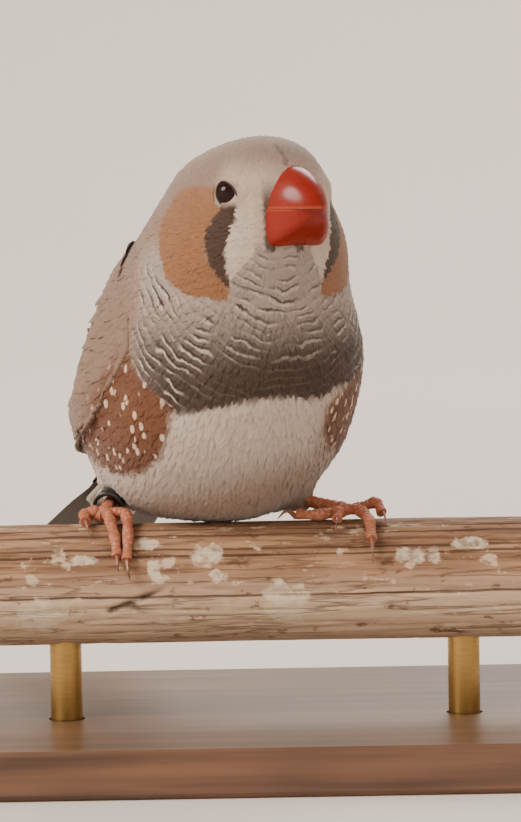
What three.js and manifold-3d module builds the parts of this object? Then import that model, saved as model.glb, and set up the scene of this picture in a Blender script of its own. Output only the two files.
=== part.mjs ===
// A life-size zebra finch cock, crouched on a cut length of wooden perch that stands on a plain base.
// Millimetres, +Z up. The origin is the centre of the base's underside. The perch lies along X and the
// viewer stands on the -Y side. The bird has a frame of its own: x forward, y to its left, z up, with
// z = 0 at the top of the perch.
import * as THREE from "three";
import { mergeVertices } from "three/addons/utils/BufferGeometryUtils.js";
import Module from "manifold-3d";

const wasm = await Module();
wasm.setup();

// Driving dimensions
const GAP = 0.3;
const BASE = { length: 94, depth: 66, thickness: 6, corner: 9, bevel: 0.8 };
const ROD = { diameter: 4, height: 9.5, spread: 25, socket: 3 };
const PERCH = { diameter: 15, length: 88, y: -8 };
const BIRD = { x: -2.9, y: -7.5, yaw: 21 };
const HEAD = { at: [6, -0.8, 38], yaw: 11 };
const EYE = {
  from: [5.8, 0, 3], way: [0.2, 1, 0.04], radius: 2.1, sunk: 1.2, lid: 0.42, lidRadius: 1.95, lidSunk: 0.1,
};
const BILL = {
  base: 6.5, tip: 16.4, halfWidth: 4.3, culmen: 6.6, mouth: 1.2, keel: -4.4, droop: -0.1, blunt: 0.18,
  rings: 9, sides: 18, nostril: [10.6, 2.2, 5.4], nostrilRadius: 0.4,
};
// The wing is laid out along an axis from the shoulder to beyond the rump, and by angle round it
const WING = {
  axis: [[10, 0, 21], [-42, 0, 8]], start: 6, length: 40, thickness: 1.9, rise: 25, clear: 0.5, front: 0.3,
  vane: 0.55, sunk: 0.35, tilt: 0.14, stride: 4.6, sag: 0.15,
};
const TAIL = {
  root: [-31, -0.8, 6.4], pitch: 28, yaw: 4, feathers: 10, length: 34, width: 4.2, fan: 1.45, rootStep: 0.8,
  vane: 0.5, step: 0.26, coverts: 4, upperReach: 19, underReach: 17, pad: [9, 4.6, 2.4],
};
const TARSUS = { radius: 0.86, length: 11 };
const TOE = { radius: 0.66, claw: 0.48 };
const RING = { outer: 1.95, inner: 1.36, height: 2.8, along: 3.3, raised: 0.2 };

const perchRadius = PERCH.diameter / 2;
const perchTop = BASE.thickness + ROD.height + PERCH.diameter;
const perchAxisZ = perchTop - perchRadius;
const degrees = Math.PI / 180;

// The body as soft masses: centre, half-sizes and pitch in degrees, in the bird's frame
const TORSO_MASSES = [
  { at: [2.5, 0, 21], size: [15.2, 15.6, 14.5], pitch: 0 },
  { at: [-4.5, -0.6, 14.3], size: [17.5, 15, 14.4], pitch: 0 },
  { at: [-9, 0.5, 22.5], size: [17.5, 13.8, 11.5], pitch: 38 },
  { at: [-5, 7, 12.8], size: [12.5, 7.9, 9.2], pitch: 18 },
  { at: [-6, -9, 11.4], size: [14, 8.4, 9.4], pitch: 18 },
  { at: [-20, -0.5, 11], size: [15, 11, 8.4], pitch: 27 },
  { at: [-25, -0.3, 7], size: [13, 8.4, 5], pitch: 14 },
  { at: [-2, -0.1, 29], size: [12.5, 13.4, 8], pitch: 20 },
];
// What the folded wings lie on behind the body
const TAIL_ROOT_MASS = { at: [-36, -0.5, 7], size: [12, 5.6, 4.2], pitch: 27 };
// Masses in the head's frame, whose origin is HEAD.at
const HEAD_MASSES = [
  { at: [-1.8, 0, 0.2], size: [10.8, 9.1, 9], pitch: 0 },
  { at: [4.7, 0, 3.3], size: [7, 7, 6.4], pitch: 0 },
  { at: [0.2, 4.5, -5.4], size: [9.2, 7.6, 8], pitch: 8 },
  { at: [0.2, -4.5, -5.4], size: [9.2, 7.6, 8], pitch: 8 },
  { at: [5.2, 0, -4.6], size: [5.8, 5.8, 5.4], pitch: 0 },
  { at: [-3, 0, -7], size: [12, 11.2, 9], pitch: 0 },
];
const BLEND = 4.5;

// Frames
const headFrame = new THREE.Matrix4()
  .makeRotationZ(HEAD.yaw * degrees)
  .setPosition(...HEAD.at);
const birdFrame = new THREE.Matrix4()
  .makeRotationZ((BIRD.yaw - 90) * degrees)
  .setPosition(BIRD.x, BIRD.y, perchTop);
const worldToBird = birdFrame.clone().invert();

// Solids from geometry, and back
function solid(geometry) {
  const bare = new THREE.BufferGeometry().setAttribute("position", geometry.getAttribute("position"));
  bare.setIndex(geometry.getIndex());
  const merged = mergeVertices(bare, 1e-4);
  const made = new wasm.Manifold(
    new wasm.Mesh({
      numProp: 3,
      vertProperties: new Float32Array(merged.attributes.position.array),
      triVerts: new Uint32Array(merged.index.array),
    }),
  );
  return made;
}

function geometryOf(body) {
  const mesh = body.getMesh();
  return new THREE.BufferGeometry()
    .setAttribute("position", new THREE.BufferAttribute(new Float32Array(mesh.vertProperties), 3))
    .setIndex(new THREE.BufferAttribute(new Uint32Array(mesh.triVerts), 1));
}

function fuse(bodies) {
  return bodies.reduce((all, body) => all.add(body));
}

function largest(body) {
  return body.decompose().reduce((best, piece) => (piece.volume() > best.volume() ? piece : best));
}

// A closed body through rings of points, each ring given in the same order. Four-sided patches of the
// first half of a ring are split the other way, so that both faces of a thin vane are split alike.
function loft(rings) {
  const sides = rings[0].length;
  const points = rings.flat();
  const index = [];
  for (let r = 0; r < rings.length - 1; r++) {
    for (let s = 0; s < sides; s++) {
      const a = r * sides + s;
      const b = r * sides + ((s + 1) % sides);
      if (s < sides / 2) index.push(a, b, b + sides, a, b + sides, a + sides);
      else index.push(a, b, a + sides, b, b + sides, a + sides);
    }
  }
  const middle = (ring) =>
    ring.reduce((sum, p) => sum.add(p), new THREE.Vector3()).divideScalar(ring.length);
  const first = points.push(middle(rings[0])) - 1;
  const last = points.push(middle(rings[rings.length - 1])) - 1;
  const end = (rings.length - 1) * sides;
  for (let s = 0; s < sides; s++) {
    const next = (s + 1) % sides;
    index.push(first, next, s, last, end + s, end + next);
  }
  const geometry = new THREE.BufferGeometry().setFromPoints(points);
  geometry.setIndex(index);
  const made = solid(geometry);
  return made.volume() < 0 ? solid(geometry.setIndex(index.reverse())) : made;
}

// Distances to the soft masses
function massDistance(mass, x, y, z) {
  const c = Math.cos(mass.pitch * degrees);
  const s = Math.sin(mass.pitch * degrees);
  const dx = x - mass.at[0];
  const dz = z - mass.at[2];
  const along = (dx * c + dz * s) / mass.size[0];
  const across = (y - mass.at[1]) / mass.size[1];
  const above = (-dx * s + dz * c) / mass.size[2];
  const reach = Math.hypot(along, across, above);
  const steep = Math.hypot(along / mass.size[0], across / mass.size[1], above / mass.size[2]);
  return steep < 1e-9 ? -Math.min(...mass.size) : (reach * (reach - 1)) / steep;
}

function softMin(a, b) {
  const h = Math.max(BLEND - Math.abs(a - b), 0) / BLEND;
  return Math.min(a, b) - (h * h * BLEND) / 4;
}

const headInverse = headFrame.clone().invert();
const probe = new THREE.Vector3();

function bodyDistance(p) {
  let d = TORSO_MASSES.reduce((near, mass) => softMin(near, massDistance(mass, p.x, p.y, p.z)), 99);
  probe.copy(p).applyMatrix4(headInverse);
  d = HEAD_MASSES.reduce((near, mass) => softMin(near, massDistance(mass, probe.x, probe.y, probe.z)), d);
  return d;
}

// The body's surface seen from an inner point: a sphere whose points are pushed out to the masses
function castBody({ centre, stretch, pitch, sides, rows, level }) {
  const geometry = new THREE.SphereGeometry(1, sides, rows);
  geometry.rotateX(Math.PI / 2);
  const turn = new THREE.Matrix4().makeRotationY(-pitch * degrees);
  const origin = new THREE.Vector3(...centre);
  const points = geometry.getAttribute("position");
  const way = new THREE.Vector3();
  const p = new THREE.Vector3();
  for (let i = 0; i < points.count; i++) {
    way.fromBufferAttribute(points, i).multiply(new THREE.Vector3(...stretch));
    way.applyMatrix4(turn).normalize();
    let inner = 0;
    let outer = 1;
    while (bodyDistance(p.copy(origin).addScaledVector(way, outer)) < level) {
      inner = outer;
      outer += 1;
    }
    for (let k = 0; k < 24; k++) {
      const mid = (inner + outer) / 2;
      if (bodyDistance(p.copy(origin).addScaledVector(way, mid)) < level) inner = mid;
      else outer = mid;
    }
    p.copy(origin).addScaledVector(way, inner);
    points.setXYZ(i, p.x, p.y, p.z);
  }
  return solid(geometry);
}

// Where a ray from an inner point leaves a field's solid, and the outward normal there
function surfaceAt(field, origin, way, level = 0) {
  let reach = 0;
  let step = 1;
  const p = new THREE.Vector3();
  while (step > 1e-4) {
    if (field(p.copy(origin).addScaledVector(way, reach + step)) < level) reach += step;
    else step /= 2;
  }
  p.copy(origin).addScaledVector(way, reach);
  const tiny = 0.01;
  const here = field(p);
  const normal = new THREE.Vector3(
    field(new THREE.Vector3(p.x + tiny, p.y, p.z)) - here,
    field(new THREE.Vector3(p.x, p.y + tiny, p.z)) - here,
    field(new THREE.Vector3(p.x, p.y, p.z + tiny)) - here,
  ).normalize();
  return { point: p, normal };
}

// Torso, neck and head: one surface, parted by two planes, each given by a point and a normal
const NECK_BASE = { at: [3, 0, 28.6], normal: [0.3, 0, 0.954] };
const NECK_TOP = { at: [5, 0, 32.2], normal: [0.45, 0, 0.893] };

function above(body, plane, shift) {
  const offset = plane.at.reduce((sum, v, i) => sum + v * plane.normal[i], 0) + shift;
  return body.trimByPlane(plane.normal, offset);
}

function below(body, plane, shift) {
  const flipped = { at: plane.at, normal: plane.normal.map((v) => -v) };
  return above(body, flipped, shift);
}

const torsoForm = { centre: [-6, 0, 17], stretch: [1.45, 1, 1], pitch: 32 };
const neckForm = { centre: [3, 0, 30.5], stretch: [1, 1, 0.8], pitch: 10 };
const headForm = { centre: [6, 0, 37], stretch: [1, 1, 1], pitch: 0 };
// Slightly larger copies, which keep the gap to what touches the body
const torsoCutter = castBody({ ...torsoForm, sides: 36, rows: 22, level: GAP + 0.05 });
const headCutter = castBody({ ...headForm, sides: 34, rows: 26, level: GAP });

function makeTorso(rooms) {
  const whole = castBody({ ...torsoForm, sides: 36, rows: 22, level: 0 });
  const body = below(whole, NECK_BASE, GAP / 2);
  return largest(rooms.reduce((rest, room) => rest.subtract(room), body));
}

function makeNeck() {
  const whole = castBody({ ...neckForm, sides: 34, rows: 26, level: 0 });
  return largest(below(above(whole, NECK_BASE, GAP / 2), NECK_TOP, GAP / 2));
}

// An eye's place: where a ray from the head's middle leaves the face, sunk so that a disc of the
// eye's visible size shows
function eyeSeat(side) {
  const origin = new THREE.Vector3(...EYE.from).applyMatrix4(headFrame);
  const way = new THREE.Vector3(EYE.way[0], EYE.way[1] * side, EYE.way[2]).normalize();
  way.transformDirection(headFrame);
  const { point, normal } = surfaceAt(bodyDistance, origin, way);
  return { point, normal, centre: point.clone().addScaledVector(normal, -EYE.sunk) };
}

function ball(centre, radius, sides, rows) {
  return solid(new THREE.SphereGeometry(radius, sides, rows).translate(...centre));
}

function lidRing(seat) {
  const torus = new THREE.TorusGeometry(EYE.lidRadius, EYE.lid, 5, 18);
  const turn = new THREE.Quaternion().setFromUnitVectors(new THREE.Vector3(0, 0, 1), seat.normal);
  torus.applyQuaternion(turn);
  const middle = seat.point.clone().addScaledVector(seat.normal, -EYE.lidSunk);
  return solid(torus.translate(...middle));
}

function makeHead(seats) {
  const whole = castBody({ ...headForm, sides: 34, rows: 26, level: 0 });
  let body = above(whole, NECK_TOP, GAP / 2);
  for (const seat of seats) {
    body = body.add(lidRing(seat));
    body = body.subtract(ball(seat.centre, EYE.radius + GAP, 16, 10));
  }
  return largest(body);
}

// Bill: each half is a row of arched rings from inside the face to the tip
function billHalf({ crown, mouth, droop, width, tip, flare }) {
  const rings = [];
  for (let i = 0; i <= BILL.rings; i++) {
    const t = i / BILL.rings;
    const x = BILL.base + (tip - BILL.base) * Math.sin((t * Math.PI) / 2) ** 0.9;
    const u = (x - BILL.base) / (tip - BILL.base);
    const edge = mouth + droop * u * u;
    const rise = (crown - mouth) * (1 - u ** flare.rise) ** 0.8 + Math.sign(crown - mouth) * BILL.blunt;
    const half = width * (1 - u ** flare.width) ** 0.75 + BILL.blunt;
    const ring = [];
    for (let k = 0; k < BILL.sides; k++) {
      const a = (2 * Math.PI * k) / BILL.sides;
      const up = Math.max(0, Math.sin(a)) ** 0.85;
      ring.push(new THREE.Vector3(x, half * Math.cos(a) * (1 - 0.12 * up), edge + rise * up));
    }
    rings.push(ring);
  }
  return loft(rings).transform(headFrame.elements);
}

function makeUpperBill() {
  const half = billHalf({
    crown: BILL.culmen,
    mouth: BILL.mouth + GAP / 2,
    droop: BILL.droop,
    width: BILL.halfWidth,
    tip: BILL.tip,
    flare: { rise: 2.1, width: 1.9 },
  });
  let body = half.subtract(headCutter);
  for (const side of [-1, 1]) {
    const pit = new THREE.Vector3(BILL.nostril[0], side * BILL.nostril[1], BILL.nostril[2]);
    body = body.subtract(ball(pit.applyMatrix4(headFrame), BILL.nostrilRadius, 8, 6));
  }
  return largest(body);
}

function makeLowerBill() {
  const half = billHalf({
    crown: BILL.keel,
    mouth: BILL.mouth - GAP / 2,
    droop: BILL.droop,
    width: BILL.halfWidth * 0.94,
    tip: BILL.tip - 0.9,
    flare: { rise: 1.7, width: 2.1 },
  });
  return largest(half.subtract(headCutter));
}

// What the wings lie on: the body, carried on over the tail's root
function wingField(p) {
  return softMin(bodyDistance(p), massDistance(TAIL_ROOT_MASS, p.x, p.y, p.z));
}

const wingStart = new THREE.Vector3(...WING.axis[0]);
const wingWay = new THREE.Vector3(...WING.axis[1]).sub(wingStart).normalize();
const wingUp = new THREE.Vector3(0, 1, 0).cross(wingWay).normalize();

// A point over a side (1 left, -1 right): along the axis, by its angle above the level, and its height
function onSide(side, along, angle, height) {
  const origin = wingStart.clone().addScaledVector(wingWay, along);
  const way = new THREE.Vector3(0, side * Math.cos(angle * degrees), 0);
  way.addScaledVector(wingUp, Math.sin(angle * degrees));
  return surfaceAt(wingField, origin, way, height);
}

// The lower and upper edges of the folded wing, as angles by the share of its length
const WING_LOWER = [[0, 10], [0.12, -6], [0.42, -18], [0.75, -17], [1, -8]];
const WING_UPPER = [[0, 26], [0.12, 46], [0.36, 68], [0.72, 74], [1, 60]];

function lineAt(stops, t) {
  const next = stops.findIndex(([at]) => at >= t);
  if (next <= 0) return stops[next === 0 ? 0 : stops.length - 1][1];
  const [a, b] = [stops[next - 1], stops[next]];
  return a[1] + ((b[1] - a[1]) * (t - a[0])) / (b[0] - a[0]);
}

// The height of the wing's underside over the body, greater beside the neck
function wingFloor(t) {
  return WING.clear + WING.front * Math.max(0, 1 - 5 * t);
}

const wingShare = (along) => Math.min(1, Math.max(0, (along - WING.start) / WING.length));

// The height of the wing's core over the body at a place along it, thinner at its rims
function coreHeight(along, angle) {
  const t = wingShare(along);
  const thick = WING.thickness * Math.min(1, 0.25 + (WING.length * t) / WING.rise) * (1 - 0.55 * t);
  const low = lineAt(WING_LOWER, t);
  const u = Math.min(1, Math.max(0, (angle - low) / (lineAt(WING_UPPER, t) - low)));
  return wingFloor(t) + thick * (0.3 + 0.7 * (1 - (2 * u - 1) ** 4));
}

function wingCore(side) {
  const rings = [];
  const stations = 14;
  const across = 7;
  for (let i = 0; i <= stations; i++) {
    const t = i / stations;
    const along = WING.start + WING.length * t;
    const outer = [];
    const inner = [];
    for (let k = 0; k <= across; k++) {
      const u = k / across;
      const angle = lineAt(WING_LOWER, t) * (1 - u) + lineAt(WING_UPPER, t) * u;
      inner.unshift(onSide(side, along, angle, wingFloor(t)).point);
      outer.push(onSide(side, along, angle, coreHeight(along, angle)).point);
    }
    rings.push([...outer, ...inner]);
  }
  return loft(rings);
}

// A vane's half width at a share of its length: narrow at the root, rounded at the tip
function vaneHalf(width, t, round) {
  const tip = t > round ? Math.sqrt(1 - 0.92 * ((t - round) / (1 - round)) ** 2) : 1;
  return (width / 2) * Math.min(1, 0.6 + 1.2 * t) * tip;
}

// Tiers of wing feathers, each from its lowest to its highest. Roots and tips are places along the
// wing and angles round it, and each feather lies a little over the one below.
const WING_TIERS = [
  { count: 5, roots: [[26, -12], [26, 4]], tips: [[54, 6], [41, 6]], width: 4.3, lift: 0.1, step: 0.1 },
  { count: 5, roots: [[17, -10], [17, 38]], tips: [[35, -13], [42, 38]], width: 5.1, lift: 0.3, step: 0.08 },
  { count: 3, roots: [[14, 44], [13, 64]], tips: [[42, 44], [33, 66]], width: 6, lift: 0.55, step: 0.16 },
  { count: 6, roots: [[11, -2], [10, 48]], tips: [[20, -11], [21, 58]], width: 5.2, lift: 0.55, step: 0.06 },
];

// A strip that hugs the side, its lower edge standing a little higher than its upper one
function wingVane(side, { from, to, width, lift }) {
  const rings = [];
  const rows = Math.max(3, Math.round((to[0] - from[0]) / WING.stride));
  for (let i = 0; i <= rows; i++) {
    const t = (i / rows) ** 0.8;
    const along = from[0] + (to[0] - from[0]) * t;
    const angle = from[1] + (to[1] - from[1]) * t;
    const height = coreHeight(along, angle) + lift * Math.min(1, 0.2 + 2 * t) - WING.sunk;
    const middle = onSide(side, along, angle, height).point;
    const axis = wingStart.clone().addScaledVector(wingWay, along);
    const spread = Math.atan2(vaneHalf(width, t, 0.78), middle.distanceTo(axis)) / degrees;
    const thick = (WING.vane / 2) * (i === rows ? 0.6 : 1);
    const floor = wingFloor(wingShare(along)) + WING.sag;
    const corner = (edge, face) => {
      const level = Math.max(floor, height - edge * WING.tilt + face * thick);
      return onSide(side, along, angle + edge * spread, level).point;
    };
    rings.push([corner(-1, -1), corner(1, -1), corner(1, 1), corner(-1, 1)]);
  }
  return loft(rings);
}

function wingTier(side, { count, roots, tips, width, lift, step }) {
  return Array.from({ length: count }, (_, i) => {
    const f = i / (count - 1);
    const mix = ([a, b]) => a.map((v, k) => v + (b[k] - v) * f);
    return wingVane(side, { from: mix(roots), to: mix(tips), width, lift: lift + step * i });
  });
}

function makeWing(side) {
  const feathers = WING_TIERS.flatMap((tier) => wingTier(side, tier));
  return largest(fuse([wingCore(side), ...feathers]));
}

// A tail vane in the tail's own frame: back along -X, turned to its side and rolled
function tailVane({ turn, root, length, width, roll, droop = 0 }) {
  const rings = [];
  const rows = 4;
  const way = new THREE.Vector3(-Math.cos(turn), Math.sin(turn), 0);
  const normal = new THREE.Vector3(0, -Math.sin(roll), Math.cos(roll));
  const across = new THREE.Vector3().crossVectors(normal, way).normalize();
  for (let i = 0; i <= rows; i++) {
    const t = (i / rows) ** 0.8;
    const point = new THREE.Vector3(...root).addScaledVector(way, length * t);
    point.z -= droop * t * t;
    const half = vaneHalf(width, t, 0.84);
    const thick = (TAIL.vane / 2) * (i === rows ? 0.6 : 1);
    const corner = (edge, face) => {
      const side = point.clone().addScaledVector(across, edge * half);
      return side.addScaledVector(normal, face * thick);
    };
    rings.push([corner(-1, -1), corner(1, -1), corner(1, 1), corner(-1, 1)]);
  }
  return loft(rings);
}

function makeTail() {
  const pieces = [];
  const middle = (TAIL.feathers - 1) / 2;
  for (let i = 0; i < TAIL.feathers; i++) {
    const k = i - middle;
    const root = [0, k * TAIL.rootStep, -Math.abs(k) * TAIL.step];
    const length = TAIL.length - 0.4 * Math.abs(k);
    pieces.push(tailVane({ turn: k * TAIL.fan * degrees, root, length, width: TAIL.width, roll: 0 }));
  }
  for (let i = 0; i < TAIL.coverts; i++) {
    const k = i - (TAIL.coverts - 1) / 2;
    const shared = { turn: k * 3.2 * degrees, width: 4.4 };
    const roll = k * 8 * degrees;
    const shorter = 1.6 * Math.abs(k);
    const upper = { root: [2, k * 2.1, 1.3 - 0.35 * Math.abs(k)], length: TAIL.upperReach - shorter };
    const under = { root: [2, k * 2.1, 0.4 * Math.abs(k) - 2.7], length: TAIL.underReach - shorter };
    pieces.push(tailVane({ ...shared, ...upper, roll: -roll, droop: 0.7 }));
    pieces.push(tailVane({ ...shared, ...under, roll, droop: -0.8 }));
  }
  const pad = new THREE.SphereGeometry(1, 14, 8).rotateX(Math.PI / 2).scale(...TAIL.pad);
  pieces.push(solid(pad.translate(0, 0, -0.8)));
  const frame = new THREE.Matrix4().makeRotationZ(TAIL.yaw * degrees);
  frame.multiply(new THREE.Matrix4().makeRotationY(-TAIL.pitch * degrees)).setPosition(...TAIL.root);
  return largest(fuse(pieces).transform(frame.elements).subtract(torsoCutter));
}

// Legs: places on the perch are given by X and by the angle round it from the top towards the front
function onPerch(x, angle, lift) {
  const reach = perchRadius + GAP + lift;
  const y = PERCH.y - reach * Math.sin(angle * degrees);
  const z = perchAxisZ + reach * Math.cos(angle * degrees);
  return new THREE.Vector3(x, y, z).applyMatrix4(worldToBird);
}

// A round limb along a smooth line, its radius given by a function of the share of its length
function limb(points, radiusAt, rows, sides) {
  const path = new THREE.CatmullRomCurve3(points, false, "centripetal");
  const frames = path.computeFrenetFrames(rows, false);
  const rings = [];
  for (let i = 0; i <= rows; i++) {
    const here = path.getPointAt(i / rows);
    const radius = radiusAt(i / rows);
    const ring = [];
    for (let k = 0; k < sides; k++) {
      const a = (2 * Math.PI * k) / sides;
      const out = frames.normals[i].clone().multiplyScalar(Math.cos(a) * radius);
      ring.push(here.clone().add(out.addScaledVector(frames.binormals[i], Math.sin(a) * radius)));
    }
    rings.push(ring);
  }
  return loft(rings);
}

function toe({ steps, claw }) {
  const joints = steps.map(([x, angle, lift = 0]) => onPerch(x, angle, TOE.radius + lift));
  const knuckles = steps.length - 1;
  const flesh = limb(
    joints,
    (t) => TOE.radius * (1 - 0.22 * t) * (0.94 + 0.12 * Math.cos(2 * Math.PI * knuckles * t)),
    2 * knuckles + 1,
    7,
  );
  const last = steps[steps.length - 1];
  const hook = [
    onPerch(last[0], last[1] - 4, TOE.radius * 0.8 + (last[2] ?? 0)),
    onPerch((last[0] + claw[0]) / 2, (last[1] + claw[1]) / 2 + 2, TOE.radius + 0.45),
    onPerch(claw[0], claw[1], 0.2),
  ];
  return flesh.add(limb(hook, (t) => TOE.claw * (1 - 0.72 * t), 4, 6));
}

// A shank, the toes that spring from its foot, and the socket in the feathers that takes it
function makeLeg({ foot, heelWay, toes }) {
  const ankle = onPerch(...foot);
  const way = new THREE.Vector3(...heelWay).normalize().transformDirection(worldToBird);
  const at = (along) => ankle.clone().addScaledVector(way, along);
  const spindle = (t) => TARSUS.radius * (1.12 - 0.18 * Math.sin(Math.PI * t));
  const halfway = at(TARSUS.length / 2);
  const shank = limb([at(-0.4), halfway, at(TARSUS.length)], spindle, 5, 9);
  const boreRadius = TARSUS.radius + GAP + 0.1;
  const bore = limb([at(-0.4), halfway, at(TARSUS.length + GAP)], () => boreRadius, 2, 14);
  const palm = ball(ankle, TARSUS.radius * 1.15, 9, 7);
  return { body: largest(fuse([shank, palm, ...toes.map(toe)])), bore, at, way };
}

// Steps are places on the perch: X, the angle from the top towards the front, and any lift
const LEGS = {
  right: {
    foot: [-19.7, 0, 1],
    heelWay: [0.14, 0.95, 0.26],
    toes: [
      { steps: [[-19.3, 2, 0.2], [-18.9, 20], [-18.3, 38], [-18, 50]], claw: [-17.8, 66] },
      { steps: [[-19.2, 0, 0.2], [-17.2, 5, 0.4], [-16.7, 30], [-16.8, 54]], claw: [-16.3, 79] },
      { steps: [[-19.3, 0, 0.3], [-20.8, 0, 0.6], [-22.2, 4, 0.4], [-22, 18]], claw: [-21.5, 36] },
      { steps: [[-19.9, 2, 0.1], [-22, -7], [-22.5, -32]], claw: [-22.6, -62] },
    ],
  },
  left: {
    foot: [9.9, 0, 1],
    heelWay: [-0.8, 0.56, 0.17],
    toes: [
      { steps: [[9.9, 0, 0.3], [11.9, 3, 0.3], [13.2, 22], [13.5, 48]], claw: [13.5, 70] },
      { steps: [[9.9, 0, 0.3], [12, -2, 0.4], [14.2, 0, 1.1], [14.9, 10, 0.1]], claw: [15.4, 24] },
      { steps: [[9.9, 0, 0.3], [9.5, 10, 0.3], [9.3, 20]], claw: [9.1, 34] },
      { steps: [[9.9, 3, 0.2], [7, 10], [4.2, 9, 0.1]], claw: [1.9, 8] },
    ],
  },
};

// The leg ring hangs round the right shank, just behind the foot
function ringTube({ at, way }, outer, inner, height) {
  const profile = [[inner, -1], [outer, -1], [outer, 1], [inner, 1], [inner, -1]];
  const points = profile.map(([r, end]) => new THREE.Vector2(r, (end * height) / 2));
  const tube = new THREE.LatheGeometry(points, 26);
  tube.applyQuaternion(new THREE.Quaternion().setFromUnitVectors(new THREE.Vector3(0, 1, 0), way));
  const raised = new THREE.Vector3(0, 0, 1).addScaledVector(way, -way.z).normalize();
  const body = solid(tube.translate(...at(RING.along).addScaledVector(raised, RING.raised)));
  return body.volume() > 0 ? body : solid(turned(tube));
}

// A geometry with its faces turned round
function turned(geometry) {
  const copy = geometry.clone();
  copy.setIndex(Array.from(geometry.getIndex().array).reverse());
  return copy;
}

// The scene graph
const part = new THREE.Group();
const bird = new THREE.Group();
bird.applyMatrix4(birdFrame);
const headGroup = new THREE.Group();
headGroup.applyMatrix4(headFrame);
bird.add(headGroup);
part.add(bird);

const finish = (color, roughness) => new THREE.MeshStandardMaterial({ color, roughness, metalness: 0 });
const plumage = finish(0xb9aea4, 0.9);
const white = finish(0xd8d0c6, 0.9);
const quill = finish(0x8f8479, 0.85);
const coral = finish(0xc4432a, 0.35);
const skin = finish(0xc4633f, 0.6);
const dark = finish(0x140d0b, 0.1);
const wood = finish(0xa07c62, 0.8);
const stand = finish(0x4a3b30, 0.5);

function put(group, name, body, material) {
  const mesh = new THREE.Mesh(geometryOf(body), material);
  mesh.name = name;
  group.add(mesh);
}

const inHead = (body) => body.transform(headInverse.elements);
const seats = { right: eyeSeat(-1), left: eyeSeat(1) };
const legs = Object.entries(LEGS).map(([side, form]) => ({ side, ...makeLeg(form) }));
const ringRoom = ringTube(legs[0], RING.outer + GAP, 0, RING.height + 2 * GAP);
put(bird, "torso", makeTorso([...legs.map((leg) => leg.bore), ringRoom]), white);
put(bird, "neck", makeNeck(), plumage);
put(headGroup, "head", inHead(makeHead(Object.values(seats))), plumage);
put(headGroup, "bill_upper", inHead(makeUpperBill()), coral);
put(headGroup, "bill_lower", inHead(makeLowerBill()), coral);
for (const [side, seat] of Object.entries(seats)) {
  put(headGroup, "eye_" + side, inHead(ball(seat.centre, EYE.radius, 16, 10)), dark);
}
put(bird, "wing_left", makeWing(1), quill);
put(bird, "wing_right", makeWing(-1), quill);
put(bird, "tail", makeTail(), quill);
for (const leg of legs) put(bird, "leg_" + leg.side, leg.body, skin);
put(bird, "leg_ring", ringTube(legs[0], RING.outer, RING.inner, RING.height), dark);

// Perch and stand
const rodHole = ROD.diameter / 2 + GAP;
const rodPlaces = [-ROD.spread, ROD.spread];

function upright(x, y, radius, low, high, sides) {
  const shaft = new THREE.CylinderGeometry(radius, radius, high - low, sides).rotateX(Math.PI / 2);
  return solid(shaft.translate(x, y, (low + high) / 2));
}

function makePerch() {
  const log = new THREE.CylinderGeometry(perchRadius, perchRadius, PERCH.length, 36).rotateZ(Math.PI / 2);
  let body = solid(log.translate(0, PERCH.y, perchAxisZ));
  const low = perchAxisZ - perchRadius - 1;
  for (const x of rodPlaces) {
    body = body.subtract(upright(x, PERCH.y, rodHole, low, low + 1 + ROD.socket, 20));
  }
  return body;
}

function makeBase() {
  const half = [BASE.length / 2 - BASE.bevel, BASE.depth / 2 - BASE.bevel];
  const r = BASE.corner;
  const outline = new THREE.Shape();
  outline.moveTo(-half[0] + r, -half[1]);
  outline.absarc(half[0] - r, -half[1] + r, r, -Math.PI / 2, 0);
  outline.absarc(half[0] - r, half[1] - r, r, 0, Math.PI / 2);
  outline.absarc(-half[0] + r, half[1] - r, r, Math.PI / 2, Math.PI);
  outline.absarc(-half[0] + r, -half[1] + r, r, Math.PI, 1.5 * Math.PI);
  const slab = new THREE.ExtrudeGeometry(outline, {
    depth: BASE.thickness - 2 * BASE.bevel,
    bevelThickness: BASE.bevel,
    bevelSize: BASE.bevel,
    bevelSegments: 1,
    curveSegments: 6,
  });
  let body = solid(slab.translate(0, 0, BASE.bevel));
  for (const x of rodPlaces) {
    body = body.subtract(upright(x, PERCH.y, rodHole, BASE.thickness - ROD.socket, BASE.thickness + 1, 20));
  }
  return body;
}

const rodLow = BASE.thickness - ROD.socket + GAP;
const rodHigh = BASE.thickness + ROD.height + ROD.socket - GAP;
put(part, "perch", makePerch(), wood);
put(part, "stand_base", makeBase(), stand);
rodPlaces.forEach((x, i) => {
  const rod = upright(x, PERCH.y, ROD.diameter / 2, rodLow, rodHigh, 20);
  put(part, ["stand_rod_left", "stand_rod_right"][i], rod, stand);
});

export default part;
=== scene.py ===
import math

import bmesh
import bpy
import numpy as np
from mathutils import Matrix, Vector, noise
from mathutils.bvhtree import BVHTree


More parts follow.
